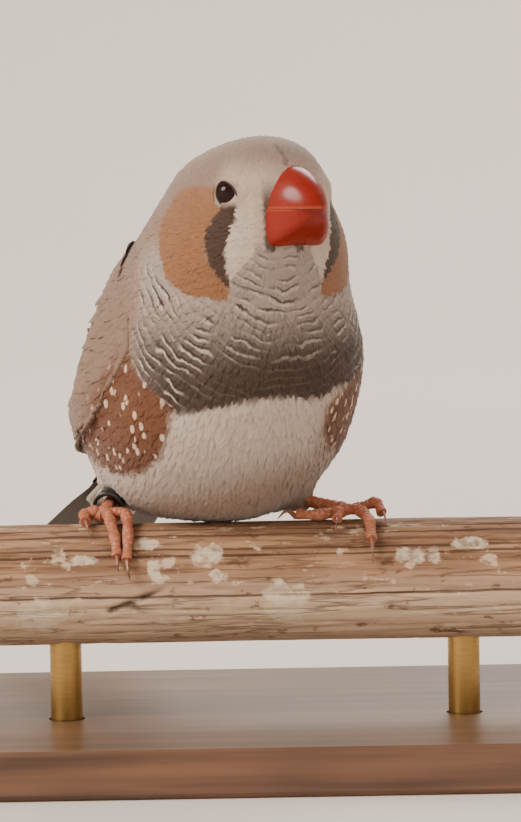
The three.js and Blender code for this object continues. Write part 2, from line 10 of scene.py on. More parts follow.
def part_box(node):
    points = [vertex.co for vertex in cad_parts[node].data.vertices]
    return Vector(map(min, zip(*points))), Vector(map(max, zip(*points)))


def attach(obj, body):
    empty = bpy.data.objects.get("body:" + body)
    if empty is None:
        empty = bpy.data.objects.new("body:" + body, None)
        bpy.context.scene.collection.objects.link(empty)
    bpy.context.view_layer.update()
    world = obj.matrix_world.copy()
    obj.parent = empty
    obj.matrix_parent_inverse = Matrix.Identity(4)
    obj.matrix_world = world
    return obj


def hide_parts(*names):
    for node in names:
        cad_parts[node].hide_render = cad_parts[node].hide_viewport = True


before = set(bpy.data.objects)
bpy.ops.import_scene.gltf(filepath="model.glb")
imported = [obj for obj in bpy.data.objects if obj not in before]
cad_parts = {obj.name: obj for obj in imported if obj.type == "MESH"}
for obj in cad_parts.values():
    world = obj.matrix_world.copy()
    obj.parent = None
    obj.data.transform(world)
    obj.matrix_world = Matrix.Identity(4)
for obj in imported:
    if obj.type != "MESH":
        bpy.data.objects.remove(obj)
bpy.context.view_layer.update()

# Sizes are in millimetres and turned into metres where a mesh is made. The bird has a frame of its
# own, x forward, y to its left, z up from the top of the perch, and the head has one inside that.
MM = 0.001
PERCH_BOX = [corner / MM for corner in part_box("perch")]
PERCH_TOP = PERCH_BOX[1].z
PERCH_RADIUS = (PERCH_BOX[1].z - PERCH_BOX[0].z) / 2
PERCH_Y = (PERCH_BOX[1].y + PERCH_BOX[0].y) / 2
PERCH_Z = PERCH_TOP - PERCH_RADIUS
BIRD_AT = np.array([-2.9, -7.5, PERCH_TOP])
BIRD_YAW = 21
HEAD_AT = np.array([6, -0.8, 38])
HEAD_YAW = 11
SEED = 7

# Places in the bird's frame
LIE_SOURCE = np.array([13.5, -0.6, 37.5])
CHIN = np.array([17.2, -0.3, 37.2])
WING_AXIS = np.array([[10, 0, 21], [-42, 0, 8]])
TAIL_ROOT = np.array([-31, -0.8, 6.4])
TAIL_PITCH = 28
TAIL_YAW = 4
PARTING = {"aside": -0.5, "front": 7}

# The skin inside the solids, the hulls on which small feathers lie, and the feathers' bars
SKIN = {
    "swell": 0.2, "voxel": 0.5, "head_depth": 0.3, "body_depth": 0.55, "low": 0.75, "brow": 0.65,
    "brow_from": 60, "brow_to": 66, "relax": 14, "settle": 4,
}
HULL = {"voxel": 0.5, "raise": 0.06, "head_close": 0.6, "body_close": 3.2, "relax": 8}
CORE = {"voxel": 0.35, "relax": 6, "inset": 0.22, "under_vanes": 0.3}
BAR_PITCH = 1.12
SPOT_SCALE = (860, 860, 540)
# Width of a small feather's patch on the map for baking
PATCH = 0.003

# Eyes and bill. The lids are rings of ten points, the first four of them dark beads.
EYE = {"radius": 1.95, "sunk": 0.2, "plug": 2.15}
LID = {
    "long": 1.5, "short": 1.08, "lean": 26, "hull": 2.02, "root_margin": 0.55, "tip_margin": 0.4,
    "points": 10, "beaded": 4, "rings": 96, "beads": 30, "bead": 0.025,
}
BILL = {
    "base": 6.5, "tip": 16.4, "half": 4.2, "culmen": 6.6, "mouth": 1.2, "keel": -4.1, "droop": -0.1,
    "blunt": 0.18, "rings": 44, "sides": 72, "gap": 0.05, "aside": 0.65,
}
BILL_HALVES = {
    "bill_upper": {
        "crown": BILL["culmen"], "side": 1, "short": 0, "rise": 2.7, "narrow": 2.5, "square": 1.0,
        "flare": -0.1, "lean": 0,
    },
    "bill_lower": {
        "crown": BILL["keel"], "side": -1, "short": 0.8, "rise": 2.4, "narrow": 3.2, "square": 0.32,
        "flare": 0.05, "lean": -0.5,
    },
}

# Legs: steps are places on the perch, as X, the angle round it and any lift
TARSUS = {"radius": 0.86, "length": 11, "scute": 0.95, "heel": 1.1, "plug": 1.75, "past": 1.5}
TOE = {"radius": 0.66, "claw": 0.42, "plump": 1.26, "scute": 0.62}
RING = {"outer": 1.94, "wall": 0.56, "height": 2.8, "along": 3.3, "raised": 0.2, "round": 0.13}
LEGS = {
    "right": {
        "foot": (-19.7, 0, 1), "heel_way": (0.14, 0.95, 0.26), "plug": 5.4, "room": 2.7, "room_end": 5.0,
        "toes": [
            [(-19.3, 2, 0.2), (-18.9, 20, 0), (-18.3, 42, 0), (-18, 60, 0), (-17.8, 73, 0)],
            [(-19.2, 0, 0.2), (-17.2, 5, 0.4), (-16.7, 34, 0), (-16.8, 64, 0), (-16.4, 80, 0)],
            [(-19.3, 0, 0.3), (-20.8, 0, 0.6), (-22.2, 4, 0.4), (-22, 18, 0), (-21.5, 36, 0)],
            [(-19.9, 2, 0.1), (-22, -7, 0), (-22.5, -32, 0), (-22.6, -62, 0)],
        ],
    },
    "left": {
        "foot": (9.9, 0, 1), "heel_way": (-0.8, 0.56, 0.17), "plug": 5.0, "room": 1.5, "room_end": 5.0,
        "toes": [
            [(9.9, 0, 0.3), (11.9, 3, 0.3), (13.2, 22, 0), (13.5, 48, 0), (13.5, 70, 0)],
            [(9.9, 0, 0.3), (12, -2, 0.4), (14.2, 0, 1.1), (14.9, 10, 0.1), (15.4, 24, 0)],
            [(9.9, 0, 0.3), (9.5, 10, 0.3), (9.3, 20, 0), (9.1, 34, 0)],
            [(9.9, 3, 0.2), (7, 10, 0), (4.2, 9, 0.1), (1.9, 8, 0)],
        ],
    },
}

# Tail, and the finer division of long feathers
TAIL = {"feathers": 12, "length": 34, "width": 4.6, "fan": 1.25, "root_step": 0.66, "step": 0.2}
LONG_ROWS = 15
LONG_COLUMNS = 7


def turn(axis, degrees):
    return np.array(Matrix.Rotation(math.radians(degrees), 3, axis))


BIRD_TURN = turn("Z", BIRD_YAW - 90)
HEAD_TURN = turn("Z", HEAD_YAW)


def to_world(points):
    return np.asarray(points) @ BIRD_TURN.T + BIRD_AT


def to_bird(points):
    return (np.asarray(points) - BIRD_AT) @ BIRD_TURN


def head_to_bird(points):
    return np.asarray(points) @ HEAD_TURN.T + HEAD_AT


def to_head(points):
    return (np.asarray(points) - HEAD_AT) @ HEAD_TURN


# Camera, floor and light
CAMERA = {"elevation": 4, "roll": -1, "target": (0, -8, 44.35), "distance": 420, "lens": 147.15, "sensor": 36}
STUDIO = {"flat": 900, "bend": 700, "height": 1700, "sides": 128, "flat_rings": 4, "bend_steps": 24}
# Each light's place, width in metres, power and colour
LIGHTS = {
    "key_light": ((-1150, -780, 1150), 0.9, 46.0, (1.0, 0.95, 0.88)),
    "fill_light": ((900, -1100, 500), 1.0, 2.5, (0.95, 0.97, 1.0)),
    "rim_light": ((300, 1000, 1000), 0.8, 14.0, (1.0, 0.97, 0.92)),
}
LIGHT_AIM = (0, -8, 45)
WORLD = {"colour": (1.0, 0.97, 0.94, 1), "strength": 0.44}


def put(name, data):
    """A new object of the scene."""
    thing = bpy.data.objects.new(name, data)
    bpy.context.scene.collection.objects.link(thing)
    return thing


def make_camera():
    elevation = math.radians(CAMERA["elevation"])
    roll = math.radians(CAMERA["roll"])
    back = Vector((0, -math.cos(elevation), math.sin(elevation)))
    level = Vector((0, 0, 1)).cross(back).normalized()
    rise = back.cross(level)
    right = level * math.cos(roll) + rise * math.sin(roll)
    up = rise * math.cos(roll) - level * math.sin(roll)
    data = bpy.data.cameras.new("camera")
    data.lens = CAMERA["lens"]
    data.sensor_width = CAMERA["sensor"]
    data.clip_start = 0.01
    camera = put("camera", data)
    place = (Vector(CAMERA["target"]) + back * CAMERA["distance"]) * MM
    camera.matrix_world = Matrix.Translation(place) @ Matrix((right, up, back)).transposed().to_4x4()
    bpy.context.scene.camera = camera


def make_lights():
    for name, (place, width, power, colour) in LIGHTS.items():
        data = bpy.data.lights.new(name, "AREA")
        data.shape = "DISK"
        data.size = width
        data.energy = power
        data.color = colour
        light = put(name, data)
        light.location = Vector(place) * MM
        light.rotation_euler = turn_to(Vector(place) - Vector(LIGHT_AIM))


def make_studio():
    """A round pale floor that bends up into a wall, open at the top."""
    flat, bend, sides = STUDIO["flat"], STUDIO["bend"], STUDIO["sides"]
    rings = [floor_ring(flat * k / STUDIO["flat_rings"], 0) for k in range(1, STUDIO["flat_rings"])]
    for i in range(STUDIO["bend_steps"] + 1):
        a = math.radians(90 * i / STUDIO["bend_steps"])
        rings.append(floor_ring(flat + bend * math.sin(a), bend * (1 - math.cos(a))))
    rings.append(floor_ring(flat + bend, STUDIO["height"]))
    points, faces = tube_mesh(rings, ends="open")
    middle = len(points)
    faces = [face[::-1] for face in faces] + [(middle, k, (k + 1) % sides) for k in range(sides)]
    floor = new_object("studio_floor", points + [(0, 0, 0)], faces)
    floor.data.materials.append(studio_paint())


def floor_ring(radius, height):
    return [(radius * math.cos(t), radius * math.sin(t), height) for t in turns(STUDIO["sides"])]


def make_world():
    world = bpy.data.worlds.new("soft_light")
    world.use_nodes = True
    background = world.node_tree.nodes["Background"]
    background.inputs[0].default_value = WORLD["colour"]
    background.inputs[1].default_value = WORLD["strength"]
    bpy.context.scene.world = world


# Mesh helpers
def unit(v):
    return v / np.maximum(np.linalg.norm(v, axis=-1, keepdims=True), 1e-9)


def turn_to(way):
    """The rotation that points a new piece's Z along a way."""
    return Vector(way).to_track_quat("Z", "Y").to_euler()


def turns(count):
    return [2 * math.pi * k / count for k in range(count)]


def new_object(name, points, faces):
    """A smooth mesh object from points in millimetres in the world frame."""
    mesh = bpy.data.meshes.new(name)
    mesh.from_pydata((np.asarray(points) * MM).tolist(), [], faces)
    mesh.update()
    mesh.polygons.foreach_set("use_smooth", np.ones(len(mesh.polygons), bool))
    return put(name, mesh)


def tube_mesh(rings, ends="closed"):
    """Points and faces through rings of points, whose ends are closed, open or met in a loop."""
    sides = len(rings[0])
    points = [tuple(p) for ring in rings for p in ring]
    total = len(points)
    faces = []
    for r in range(len(rings) - (ends != "met")):
        for k in range(sides):
            a = r * sides + k
            b = r * sides + (k + 1) % sides
            faces.append((a, b, (b + sides) % total, (a + sides) % total))
    if ends == "closed":
        faces.append(tuple(range(sides))[::-1])
        faces.append(tuple(range(total - sides, total)))
    return points, faces


def deselect():
    bpy.ops.object.select_all(action="DESELECT")


def only(piece):
    deselect()
    piece.select_set(True)
    bpy.context.view_layer.objects.active = piece


def just_made(name):
    made = bpy.context.active_object
    made.name = name
    return made


def new_rod(name, radius, length, middle, rotation, sides, caps="NGON"):
    deselect()
    bpy.ops.mesh.primitive_cylinder_add(
        vertices=sides, radius=radius * MM, depth=length * MM, end_fill_type=caps,
        location=Vector(np.asarray(middle) * MM), rotation=rotation,
    )
    return just_made(name)


def new_ball(name, radius, middle, sides):
    deselect()
    bpy.ops.mesh.primitive_uv_sphere_add(
        segments=sides, ring_count=sides // 2, radius=radius * MM, location=Vector(middle * MM)
    )
    return just_made(name)


def modify(piece, kind, **settings):
    only(piece)
    modifier = piece.modifiers.new(kind.lower(), kind)
    for key, value in settings.items():
        setattr(modifier, key, value)
    bpy.ops.object.modifier_apply(modifier=modifier.name)


def remesh(piece, voxel):
    modify(piece, "REMESH", mode="VOXEL", voxel_size=voxel * MM)


def relax(piece, steps):
    modify(piece, "SMOOTH", factor=0.5, iterations=steps)


def grow(piece, depth):
    modify(piece, "DISPLACE", strength=depth * MM, mid_level=0)


def round_edges(piece, width):
    modify(piece, "BEVEL", width=width * MM, segments=3, limit_method="ANGLE")


def edit_all(piece, operator, **settings):
    """Runs one operator on the whole of a piece in edit mode."""
    only(piece)
    bpy.ops.object.mode_set(mode="EDIT")
    bpy.ops.mesh.select_all(action="SELECT")
    operator(**settings)
    bpy.ops.object.mode_set(mode="OBJECT")


def outward(piece):
    edit_all(piece, bpy.ops.mesh.normals_make_consistent, inside=False)


def smooth_shade(piece, angle=None):
    only(piece)
    if angle is None:
        bpy.ops.object.shade_smooth()
    else:
        bpy.ops.object.shade_smooth_by_angle(angle=math.radians(angle))


def settle(piece):
    """Puts the object's place into its mesh."""
    only(piece)
    bpy.ops.object.transform_apply(location=True, rotation=True, scale=True)


def join(pieces):
    deselect()
    for piece in pieces:
        piece.select_set(True)
    bpy.context.view_layer.objects.active = pieces[0]
    bpy.ops.object.join()
    whole = bpy.context.active_object
    settle(whole)
    return whole


def twin(piece):
    return put(piece.name + "_twin", piece.data.copy())


def copy_of(node):
    piece = put(node + "_copy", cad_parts[node].data.copy())
    piece.data.materials.clear()
    edit_all(piece, bpy.ops.mesh.remove_doubles, threshold=0.01 * MM)
    return piece


def read_numbers(things, key, kind=np.float32, width=3):
    """What a mesh holds for each of its points, faces or corners."""
    values = np.zeros(len(things) * width, kind)
    things.foreach_get(key, values)
    return values.reshape(-1, width)


def points_of(piece):
    return read_numbers(piece.data.vertices, "co").astype(float) / MM


def set_points(piece, points):
    piece.data.vertices.foreach_set("co", (np.asarray(points) * MM).astype(np.float32).ravel())
    piece.data.update()


def write_attribute(mesh, key, values):
    """Gives each point a number, or a colour where the values have four columns."""
    colour = values.shape[-1] == 4
    layer = mesh.attributes.new(key, "FLOAT_COLOR" if colour else "FLOAT", "POINT")
    layer.data.foreach_set("color" if colour else "value", values.astype(np.float32).ravel())


def write_map(mesh, name, uv, corners):
    """A UV map from places given for each point."""
    layer = mesh.uv_layers.new(name=name)
    layer.data.foreach_set("uv", uv[corners].astype(np.float32).ravel())


def finish_piece(piece, paint, slot, *nodes):
    piece.data.materials.append(paint)
    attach(piece, "root")
    if nodes:
        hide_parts(*nodes)


# Colours, given as they look on a screen
def srgb(red, green, blue):
    tone = np.array([red, green, blue]) / 255
    return np.where(tone <= 0.04045, tone / 12.92, ((tone + 0.055) / 1.055) ** 2.4)


PAINT = {
    "crown": srgb(127, 104, 90),
    "lores": srgb(178, 155, 140),
    "white": srgb(184, 165, 150),
    "tear": srgb(65, 47, 38),
    "cheek": srgb(130, 88, 59),
    "nape": srgb(133, 104, 87),
    "throat": srgb(148, 132, 122),
    "breast": srgb(82, 70, 63),
    "band": srgb(62, 47, 39),
    "belly": srgb(184, 167, 155),
    # The belly's painted shade, low down and on the bird's left side
    "belly_painted_shade": srgb(137, 116, 102),
    "flank": srgb(97, 57, 34),
    "back": srgb(120, 97, 82),
    "wing": srgb(122, 97, 81),
    "rump": srgb(206, 190, 174),
    "black": srgb(38, 32, 30),
    "bar_dark": srgb(50, 38, 32),
    "bar_light": srgb(188, 172, 160),
    "spot": srgb(206, 178, 154),
    "lid": srgb(58, 42, 36),
}


def ease(low, high, x):
    t = np.clip((x - low) / (high - low), 0, 1)
    return t * t * (3 - 2 * t)


def over(under, paint, mask):
    return under + (paint - under) * mask[:, None]


# Where the second tear mark, the cheek and the white stripe end, by height in the head's frame
TEAR_FRONT = ([-8, -5.3, -3.6, -2, -0.8, -0.1, 1.2], [42.2, 43.3, 44.3, 42.2, 41.8, 38.8, 37.2])
CHEEK_BACK = ([-9.6, -9.2, -8.1, -6.5, -3.5, 0, 3, 4], [52, 66, 77, 84, 90, 100, 98, 92])
STRIPE_FRONT = ([-7.6, -6.5, -5.5, -4, 2], [41.5, 38, 33, 26, 26])
FAR_SHIFT = ([-8, -5.7, -2.2, 0.8, 3], [21, 19, 13, 3, 0])
# The breast band's lower edge by the angle round the body, right side positive
BAND_LOW = ([-60, -28, -16, -3, 11, 23, 38, 50, 70], [19, 17.2, 15.8, 16.4, 16.2, 15.7, 14.7, 14.6, 17])
FLANK_FRONT_RIGHT = ([6, 9, 12, 15.2, 17.2, 22.3], [86, 64, 55.5, 51, 59, 84])
FLANK_FRONT_LEFT = ([6, 8.4, 12, 15.2, 18, 22.3], [75, 46, 26, 25, 40, 70])
# How far along the wing's axis the flank and shoulder reach over it, by the angle round it
WING_FRONT = ([-26, -20, -18, -12, 6, 22, 40, 66], [60, 40, 26, 16, 9.3, 7.6, 7, 7])


def head_markings(p, rgb, bars):
    h = to_head(p)
    z = h[:, 2]
    phi = np.degrees(np.arctan2(np.abs(h[:, 1]), h[:, 0]))
    phi = phi + np.where(h[:, 1] > 0, np.interp(z, *FAR_SHIFT), 0)
    tear_back = 57 - np.where(z > -2.3, 0.61, 0.42) * (z + 2.3) ** 2
    tear_front = np.interp(z, *TEAR_FRONT)
    stripe_front = np.interp(z, *STRIPE_FRONT)
    in_head = ease(-12.5, -10.5, z)
    pale = ease(60, 40, phi) * ease(8.5, 4, z) * in_head * ease(-9, -6, z)
    rgb = over(rgb, PAINT["crown"], in_head * ease(-2, 2, z))
    rgb = over(rgb, PAINT["lores"], pale)
    white = ease(-0.6, 0.6, phi - stripe_front) * ease(0.6, -0.6, phi - tear_front)
    white *= ease(3.4, 0.8, z) * ease(-8.2, -7.4, z)
    rgb = over(rgb, PAINT["white"], white)
    throat = ease(0.8, -0.8, phi - stripe_front) * ease(-2.4, -3.4, z)
    throat = np.maximum(throat, ease(-7.4, -8.4, z) * ease(46, 42, phi)) * in_head
    rgb = over(rgb, PAINT["throat"], throat)
    cheek = ease(0.9, -0.9, phi - np.interp(z, *CHEEK_BACK)) * ease(-9.9, -9.3, z) * ease(4.4, 3.6, z)
    front = np.where(z > 1.2, 53.0, np.where(z < -8, 43.0, tear_back))
    cheek *= ease(-0.8, 0.8, phi - front)
    rgb = over(rgb, PAINT["cheek"], cheek)
    tear = ease(-0.5, 0.5, phi - tear_front) * ease(0.5, -0.5, phi - tear_back) * ease(2.2, 1.4, z)
    rgb = over(rgb, PAINT["tear"], tear)
    line = ease(13, 14, phi) * ease(21.5, 19.5, phi) * ease(-4.3, -3.7, z) * ease(5.5, 1.5, z)
    rgb = over(rgb, PAINT["tear"], line * 0.9)
    parting = ease(0.4, 0.15, np.abs(h[:, 1] - PARTING["aside"])) * (h[:, 0] > PARTING["front"])
    parting *= ease(6, 6.6, z) * ease(9.2, 8.6, z)
    rgb = over(rgb, PAINT["tear"], parting * 0.5)
    bare = np.maximum.reduce([white, cheek, tear, in_head * ease(-7, -5, z) * (1 - throat)])
    bars = np.maximum(bars, throat) * (1 - bare)
    return rgb, bars


def body_markings(p):
    """Colour, strength of the zebra bars and of the flank's spots, for places in the bird's frame."""
    x, y, z = p.T
    psi = np.degrees(np.arctan2(np.abs(y), x))
    signed = np.where(y > 0, -psi, psi)
    right = y < 0
    rgb = np.tile(PAINT["nape"], (len(p), 1))
    rgb = over(rgb, PAINT["back"], ease(6, -4, x) * ease(16, 26, z))
    front = ease(84, 62, psi) * ease(37, 33, z)
    rgb = over(rgb, PAINT["throat"], front)
    rgb = over(rgb, PAINT["breast"], front * ease(29, 21, z))
    low = np.interp(signed, *BAND_LOW)
    bars = front * ease(0, 1.5, z - low) * (0.6 + 0.4 * ease(20, 45, psi))
    band = ease(7.4, 2.8, z - low) * ease(66, 50, psi)
    rgb = over(rgb, PAINT["band"], band)
    bars = bars * (1 - 0.9 * band * ease(50, 36, psi))
    belly = ease(0.5, -0.5, z - low) * ease(80, 60, np.abs(signed)) + ease(9, 6, z)
    belly = np.clip(np.maximum(belly, ease(-10, -16, x) * ease(13, 9, z)), 0, 1)
    rgb = over(rgb, PAINT["belly"], belly)
    # Painted shade: the belly darker towards its bottom and towards the bird's left side, away from the key
    # light.
    shade = np.maximum(ease(11, 3, z - 0.3 * y), 0.8 * ease(12, 40, -signed))
    rgb = over(rgb, PAINT["belly_painted_shade"], belly * shade * ease(-14, -6, x))
    bars = bars * (1 - belly)
    edge = np.where(right, np.interp(z, *FLANK_FRONT_RIGHT), np.interp(z, *FLANK_FRONT_LEFT))
    lowest = np.interp(x, [-22, -10.6, -3.3, 2, 8], [11, 9.3, 6.4, 6.7, 9.5])
    flank = ease(-3.5, 3.5, psi - edge) * ease(-0.5, 0.5, z - lowest) * ease(24, 20, z) * ease(-24, -16, x)
    rgb = over(rgb, PAINT["flank"], flank)
    bars = bars * (1 - flank)
    along, angle = wing_places(p)
    wing = ease(-2.5, 2.5, along - np.interp(angle, *WING_FRONT)) * ease(70, 60, angle)
    rgb = over(rgb, PAINT["wing"], wing)
    flank = flank * (1 - wing)
    rump = ease(-27, -32, x) * ease(6, 12, z) * (1 - wing)
    rgb = over(rgb, PAINT["rump"], rump)
    return rgb, bars, flank


def markings(p):
    rgb, bars, spots = body_markings(p)
    rgb, bars = head_markings(p, rgb, bars)
    return rgb, np.clip(bars, 0, 1), spots


def marked(rgb, bars):
    """Colours whose fourth number is the strength of the bars."""
    return np.concatenate([rgb, bars[:, None]], 1)


# Materials
SOCKETS = {
    "roughness": "Roughness", "sheen": "Sheen Weight", "sheen_rough": "Sheen Roughness",
    "specular": "Specular IOR Level", "coat": "Coat Weight", "coat_rough": "Coat Roughness",
    "metallic": "Metallic",
}


class Value:
    """What a node of a material gives out, ready for sums with numbers and other values."""

    def __init__(self, finish, socket):
        self.finish = finish
        self.socket = socket

    def maths(self, operation, other=None):
        return self.finish.add("ShaderNodeMath", self, other, operation=operation)

    def __add__(self, other):
        return self.maths("ADD", other)

    def __sub__(self, other):
        return self.maths("SUBTRACT", other)

    def __rsub__(self, other):
        return self.finish.add("ShaderNodeMath", other, self, operation="SUBTRACT")

    def __mul__(self, other):
        return self.maths("MULTIPLY", other)

    def __truediv__(self, other):
        return self.maths("DIVIDE", other)

    def __abs__(self):
        return self.maths("ABSOLUTE")

    def remap(self, low, high, to_low=0.0, to_high=1.0):
        """Rises softly from one number to another between low and high."""
        limits = (low, high, to_low, to_high)
        return self.finish.add("ShaderNodeMapRange", self, *limits, interpolation_type="SMOOTHSTEP")

    def part(self, key):
        """Another output of the same node."""
        return Value(self.finish, self.socket.node.outputs[key])


class Finish:
    """A material in the making: its nodes, its shader and places in the object's own frame."""

    def __init__(self, name):
        self.material = bpy.data.materials.new(name)
        self.material.use_nodes = True
        self.tree = self.material.node_tree
        self.tree.nodes.clear()
        output = self.tree.nodes.new("ShaderNodeOutputMaterial")
        self.shader = self.tree.nodes.new("ShaderNodeBsdfPrincipled")
        self.tree.links.new(self.shader.outputs[0], output.inputs[0])
        self.place = self.add("ShaderNodeTexCoord", out=3)

    def feed(self, socket, value):
        if isinstance(value, Value):
            self.tree.links.new(value.socket, socket)
        elif value is not None:
            socket.default_value = value

    def add(self, kind, *values, out=0, **settings):
        """A node with its settings, fed by numbers or by other values in turn."""
        node = self.tree.nodes.new(kind)
        for key, value in settings.items():
            setattr(node, key, value)
        for socket, value in zip(node.inputs, values):
            self.feed(socket, value)
        return Value(self, node.outputs[out])

    def mix(self, share, first, second, blend="MIX"):
        node = self.tree.nodes.new("ShaderNodeMix")
        node.data_type = "RGBA"
        node.blend_type = blend
        self.feed(node.inputs[0], share)
        for index, colour in ((6, first), (7, second)):
            self.feed(node.inputs[index], colour if isinstance(colour, Value) else (*colour, 1))
        return Value(self, node.outputs[2])

    def shaded(self, colour, shade):
        return self.mix(1.0, colour, self.add("ShaderNodeCombineColor", shade, shade, shade), "MULTIPLY")

    def grain(self, scale, detail=3.0, rough=0.55, place=None):
        return self.add("ShaderNodeTexNoise", place or self.place, None, scale, detail, rough)

    def stretched(self, scale):
        return self.add("ShaderNodeMapping", self.place, None, None, scale)

    def streaks(self, scale, detail=3.0, rough=0.55):
        """Grain with a scale of its own along each axis."""
        return self.grain(1.0, detail, rough, self.stretched(scale))

    def attribute(self, name, out=2):
        return self.add("ShaderNodeAttribute", attribute_name=name, out=out)

    def vane(self):
        """Places on a feather: the distance from its shaft and how far along it."""
        split = self.add("ShaderNodeSeparateXYZ", self.add("ShaderNodeUVMap", uv_map="Vane"))
        return abs(split - 0.5), split.part(1)

    def barbs(self, along, aside, tone, lengthwise, slant, across):
        """Fine barbs that slant away from a feather's shaft."""
        row = along * lengthwise - aside * slant
        return self.grain(1.0, 2.0, place=self.add("ShaderNodeCombineXYZ", aside * across, row, tone * 40.0))

    def bump(self, height, strength, distance):
        normal = self.add("ShaderNodeBump", strength, distance * MM)
        self.feed(normal.socket.node.inputs["Height"], height)
        self.feed(self.shader.inputs["Normal"], normal)

    def done(self, colour, **values):
        self.feed(self.shader.inputs["Base Color"], colour)
        for key, value in values.items():
            self.feed(self.shader.inputs[SOCKETS[key]], value)
        return self.material


def studio_paint():
    finish = Finish("studio_floor")
    colour = finish.mix(finish.grain(3.0), srgb(222, 214, 206), srgb(214, 206, 198))
    return finish.done(colour, roughness=0.9, specular=0.1)


def barred(finish, colour, bars, tone):
    """Fine wavy bars, dark and light by turns, in rings round the chin."""
    chin = tuple(to_world(CHIN) * MM)
    reach = finish.add("ShaderNodeVectorMath", finish.place, chin, operation="DISTANCE", out=1)
    phase = reach * (1 / (BAR_PITCH * MM)) + finish.grain(230.0, 2.0) * 2.6 + tone * 0.12
    share = phase.maths("FRACT")
    strength = bars * finish.grain(330.0, 1.0).remap(0.42, 0.58, 0.12, 1.0)
    strength = strength * reach.remap(0.004, 0.012, 0.5, 1.0)
    for middle, depth, paint in ((0.3, 0.95, "bar_dark"), (0.62, 0.8, "bar_light")):
        line = abs(share - middle).remap(0.2, 0.05)
        colour = finish.mix(line * (strength * depth), colour, PAINT[paint])
    return colour


def spotted(finish, colour):
    """Pale oval spots, in most cells of a loose pattern."""
    cells = finish.add("ShaderNodeTexVoronoi", finish.stretched(SPOT_SCALE), None, 1.0)
    picked = finish.add("ShaderNodeSeparateColor", cells.part("Color"))
    spot = cells.remap(0.36, 0.24) * finish.attribute("spots") * picked.remap(0.2, 0.24)
    return finish.mix(spot * 0.85, colour, PAINT["spot"])


def plumage_paint():
    """Small feathers: the marking in each point, the throat's bars, the flank's spots and painted shade
    towards each feather's root.
    """
    finish = Finish("plumage")
    mark = finish.attribute("marking", out=0)
    tone = finish.attribute("tone")
    aside, along = finish.vane()
    colour = spotted(finish, barred(finish, mark, mark.part("Alpha"), tone))
    barbs = finish.barbs(along, aside, tone, 26.0, 26.0, 4.0)
    shade = barbs.remap(0.3, 0.7, 0.93, 1.05) * tone.remap(0.0, 1.0, 0.95, 1.04)
    # Painted shade: each feather darker towards its root, under the feathers that lie over it.
    shade = shade * along.remap(0.0, 0.5, 0.93, 1.0)
    finish.bump(barbs, 0.3, 0.08)
    colour = finish.shaded(colour, shade)
    return finish.done(colour, roughness=0.82, specular=0.2, sheen=0.2, sheen_rough=0.5)


def vane_paint(name, base, edge, shaft, edge_width=0.12):
    """Flight and tail feathers: a shaft line, slanting barbs and a pale rim."""
    finish = Finish(name)
    tone = finish.attribute("tone")
    aside, along = finish.vane()
    quill = aside.remap(0.04, 0.015)
    colour = finish.mix(finish.grain(90.0), base, base * 0.8)
    colour = finish.mix(aside.remap(0.5 - edge_width, 0.5) * 0.75, colour, edge)
    colour = finish.mix(quill * 0.6, colour, shaft)
    barbs = finish.barbs(along, aside, tone, 90.0, 30.0, 5.0)
    shade = barbs.remap(0.3, 0.7, 0.92, 1.06) * tone.remap(0.0, 1.0, 0.95, 1.05)
    finish.bump(barbs + quill * 0.8, 0.3, 0.08)
    colour = finish.shaded(colour, shade)
    return finish.done(colour, roughness=0.68, specular=0.25, sheen=0.1, sheen_rough=0.5)


# Skin: torso, neck and head as one surface, inside the solids by the coat's depth
def coat_depth(p):
    """How deep the skin lies under the solids, less on the head than on the body."""
    depth = SKIN["head_depth"] + (SKIN["body_depth"] - SKIN["head_depth"]) * ease(32, 22, p[:, 2])
    return depth - SKIN["low"] * ease(6, 1, p[:, 2])


def heel_way(leg):
    return unit(np.array(leg["heel_way"]))


def leg_plugs():
    """Rods that close the legs' sockets in the solids, so that the skin covers them."""
    plugs = []
    for leg in LEGS.values():
        way = heel_way(leg)
        start = on_perch(*leg["foot"]) + way * leg["plug"]
        length = TARSUS["length"] + TARSUS["past"] - leg["plug"]
        plugs.append(new_rod("plug", TARSUS["plug"], length, start + way * length / 2, turn_to(way), 20))
    return plugs


def eye_mounds(radius):
    return [new_ball("mound", radius, to_world(eye["centre"]), 48) for eye in EYES.values()]


def make_skin():
    shells = [copy_of(node) for node in ("torso", "neck", "head")]
    for shell in shells:
        grow(shell, SKIN["swell"])
    skin = join(shells + leg_plugs() + eye_mounds(EYE["plug"]))
    skin.name = "body_skin"
    remesh(skin, SKIN["voxel"])
    relax(skin, SKIN["relax"])
    points = points_of(skin)
    normals = read_numbers(skin.data.vertices, "normal")
    depth = coat_depth(to_bird(points)) + SKIN["swell"]
    brow = np.clip(normals @ unit(np.array([1.0, 0, 0.8])), 0, 1) ** 3 * head_region(to_bird(points))
    depth = depth - SKIN["brow"] * brow * ease(SKIN["brow_from"], SKIN["brow_to"], points[:, 2])
    set_points(skin, points - normals * depth[:, None])
    relax(skin, SKIN["settle"])
    smooth_shade(skin)
    return skin


def make_hull(pieces, close):
    """The pieces under one soft surface with its creases filled, on which small feathers lie."""
    hull = join(pieces)
    remesh(hull, HULL["voxel"])
    grow(hull, close)
    remesh(hull, HULL["voxel"])
    grow(hull, HULL["raise"] - close)
    relax(hull, HULL["relax"])
    bed = Bed(hull)
    bpy.data.objects.remove(hull)
    return bed


